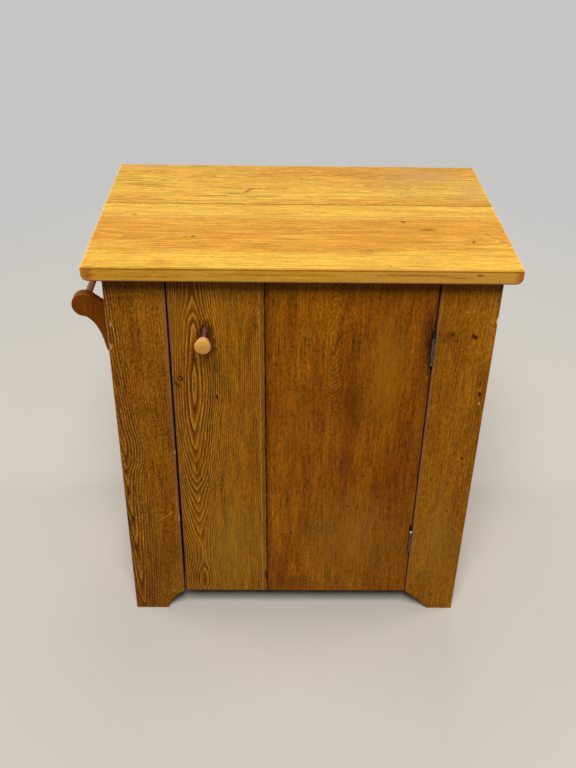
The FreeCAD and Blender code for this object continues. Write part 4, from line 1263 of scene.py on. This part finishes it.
@dataclass
class Studio:
    """A plain pale floor, a softbox in front, fills at the sides and behind, and the camera.

    Attributes:
        lamps: The lamps. The fills aren't mirrored, so they leave the varnished top clear.
        middle: The height of the cabinet's middle in metres, which they light.
        ambient: The soft light from all round.
        floor_size: Width of the floor in metres.
        floor_colour: The floor as it is seen.
        floor_bounce: The floor as it lights the cabinet from below.
        backdrop: What the floor fades into behind the cabinet.
        near: Where it starts to fade, in metres from the cabinet.
        far: Where it has faded.
        eye: The camera's place in metres, from the case's front left foot.
        yaw: How far it looks right of straight ahead, in degrees.
        pitch: How far it looks down.
        roll: How far it leans clockwise.
        focal_pixels: Its focal length, in pixels of the image.
        image_height: The image's height in pixels.
        film_height: The height of its film in millimetres.
    """

    lamps: tuple[Lamp, ...] = (
        Lamp("front softbox", (-0.25, -3.2, 5.4), 2.5, 330.0),
        Lamp("left fill", (-3.4, 0.75, 0.9), 1.4, 58.0, mirrored=False),
        Lamp("right fill", (3.4, 0.75, 0.9), 1.4, 58.0, mirrored=False),
        Lamp("rear fill", (0.3, 3.4, 0.9), 1.4, 58.0, mirrored=False),
    )
    middle: float = 0.45
    ambient: float = 0.09
    floor_size: float = 40.0
    floor_colour: str = "#c9c3b8"
    floor_bounce: str = "#605e5a"
    backdrop: str = "#c6c5c3"
    near: float = 0.7
    far: float = 2.4
    eye: Vector = field(default_factory=lambda: Vector((0.27996, -1.32478, 1.4435)))
    yaw: float = 1.198
    pitch: float = 33.573
    roll: float = 1.049
    focal_pixels: float = 904.54
    image_height: float = 768.0
    film_height: float = 36.0

    def build(self) -> None:
        """Makes the floor, the lights and the camera."""
        self.make_floor()
        self.make_world()
        for lamp in self.lamps:
            lamp.hang(Vector((0, 0, self.middle)))
        self.make_camera()
        bpy.context.scene.view_settings.view_transform = "Standard"

    def make_floor(self) -> None:
        """Lays the floor."""
        mesh = bpy.data.meshes.new("floor")
        sheet = bmesh.new()
        bmesh.ops.create_grid(sheet, x_segments=1, y_segments=1, size=self.floor_size / 2)
        sheet.to_mesh(mesh)
        sheet.free()
        floor = bpy.data.objects.new("floor", mesh)
        bpy.context.scene.collection.objects.link(floor)
        material, tree = fresh_material("pale floor")
        rays = add_node(tree, "LightPath", {})
        bounced, seen = (
            add_node(tree, "BsdfPrincipled", {"Base Color": linear(colour), "Roughness": 0.9})
            for colour in (self.floor_bounce, self.floor_colour)
        )
        place = add_node(tree, "TexCoord", {}).outputs["Object"]
        away = add_node(tree, "VectorMath", {0: place}, operation="LENGTH").outputs["Value"]
        inputs = {"Value": away, "From Min": self.near, "From Max": self.far}
        far = add_node(tree, "MapRange", inputs, interpolation_type="SMOOTHSTEP")
        backdrop = add_node(tree, "Emission", {"Color": linear(self.backdrop), "Strength": 1.0})
        seen = add_node(tree, "MixShader", {0: far, 1: seen, 2: backdrop})
        both = add_node(tree, "MixShader", {0: seen_share(tree, rays), 1: bounced, 2: seen})
        add_node(tree, "OutputMaterial", {"Surface": both})
        mesh.materials.append(material)

    def make_world(self) -> None:
        """Sets the soft light from all round, and a pale background where it is seen or reflected."""
        world = bpy.data.worlds.new("studio")
        world.use_nodes = True
        tree = world.node_tree
        tree.nodes.clear()
        rays = add_node(tree, "LightPath", {})
        ambient = add_node(tree, "Background", {"Color": linear("#ffffff"), "Strength": self.ambient})
        pale = add_node(tree, "Background", {"Color": linear(self.backdrop), "Strength": 1.0})
        both = add_node(tree, "MixShader", {0: seen_share(tree, rays), 1: ambient, 2: pale})
        add_node(tree, "OutputWorld", {"Surface": both})
        bpy.context.scene.world = world

    def make_camera(self) -> None:
        """Sets the camera at the eye, with its own film and focal length."""
        yaw, pitch, roll = (math.radians(angle) for angle in (self.yaw, self.pitch, self.roll))
        ahead = Vector((math.sin(yaw), math.cos(yaw), 0))
        right = Vector((math.cos(yaw), -math.sin(yaw), 0))
        up = Vector((0, 0, 1))
        forward = ahead * math.cos(pitch) - up * math.sin(pitch)
        upward = up * math.cos(pitch) + ahead * math.sin(pitch)
        leaning_right = right * math.cos(roll) + upward * math.sin(roll)
        leaning_up = upward * math.cos(roll) - right * math.sin(roll)
        turn = Matrix((leaning_right, leaning_up, -forward)).transposed()
        data = bpy.data.cameras.new("camera")
        data.sensor_width = self.film_height
        data.lens = self.focal_pixels * self.film_height / self.image_height
        camera = bpy.data.objects.new("camera", data)
        bpy.context.scene.collection.objects.link(camera)
        foot = Vector(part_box("left_stile")[0])
        camera.matrix_world = Matrix.Translation(foot + self.eye) @ turn.to_4x4()
        bpy.context.scene.camera = camera


def main() -> None:
    """Builds the studio and dresses each sub-assembly in turn."""
    logging.basicConfig(level=logging.INFO, format="%(message)s")
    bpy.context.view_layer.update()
    Studio().build()
    for assembly in (Top(), Case(), Door(), Hinges(), Latch(), TowelRail()):
        LOG.info("-- %s", type(assembly).__name__)
        assembly.build()


if __name__ == "__main__":
    main()
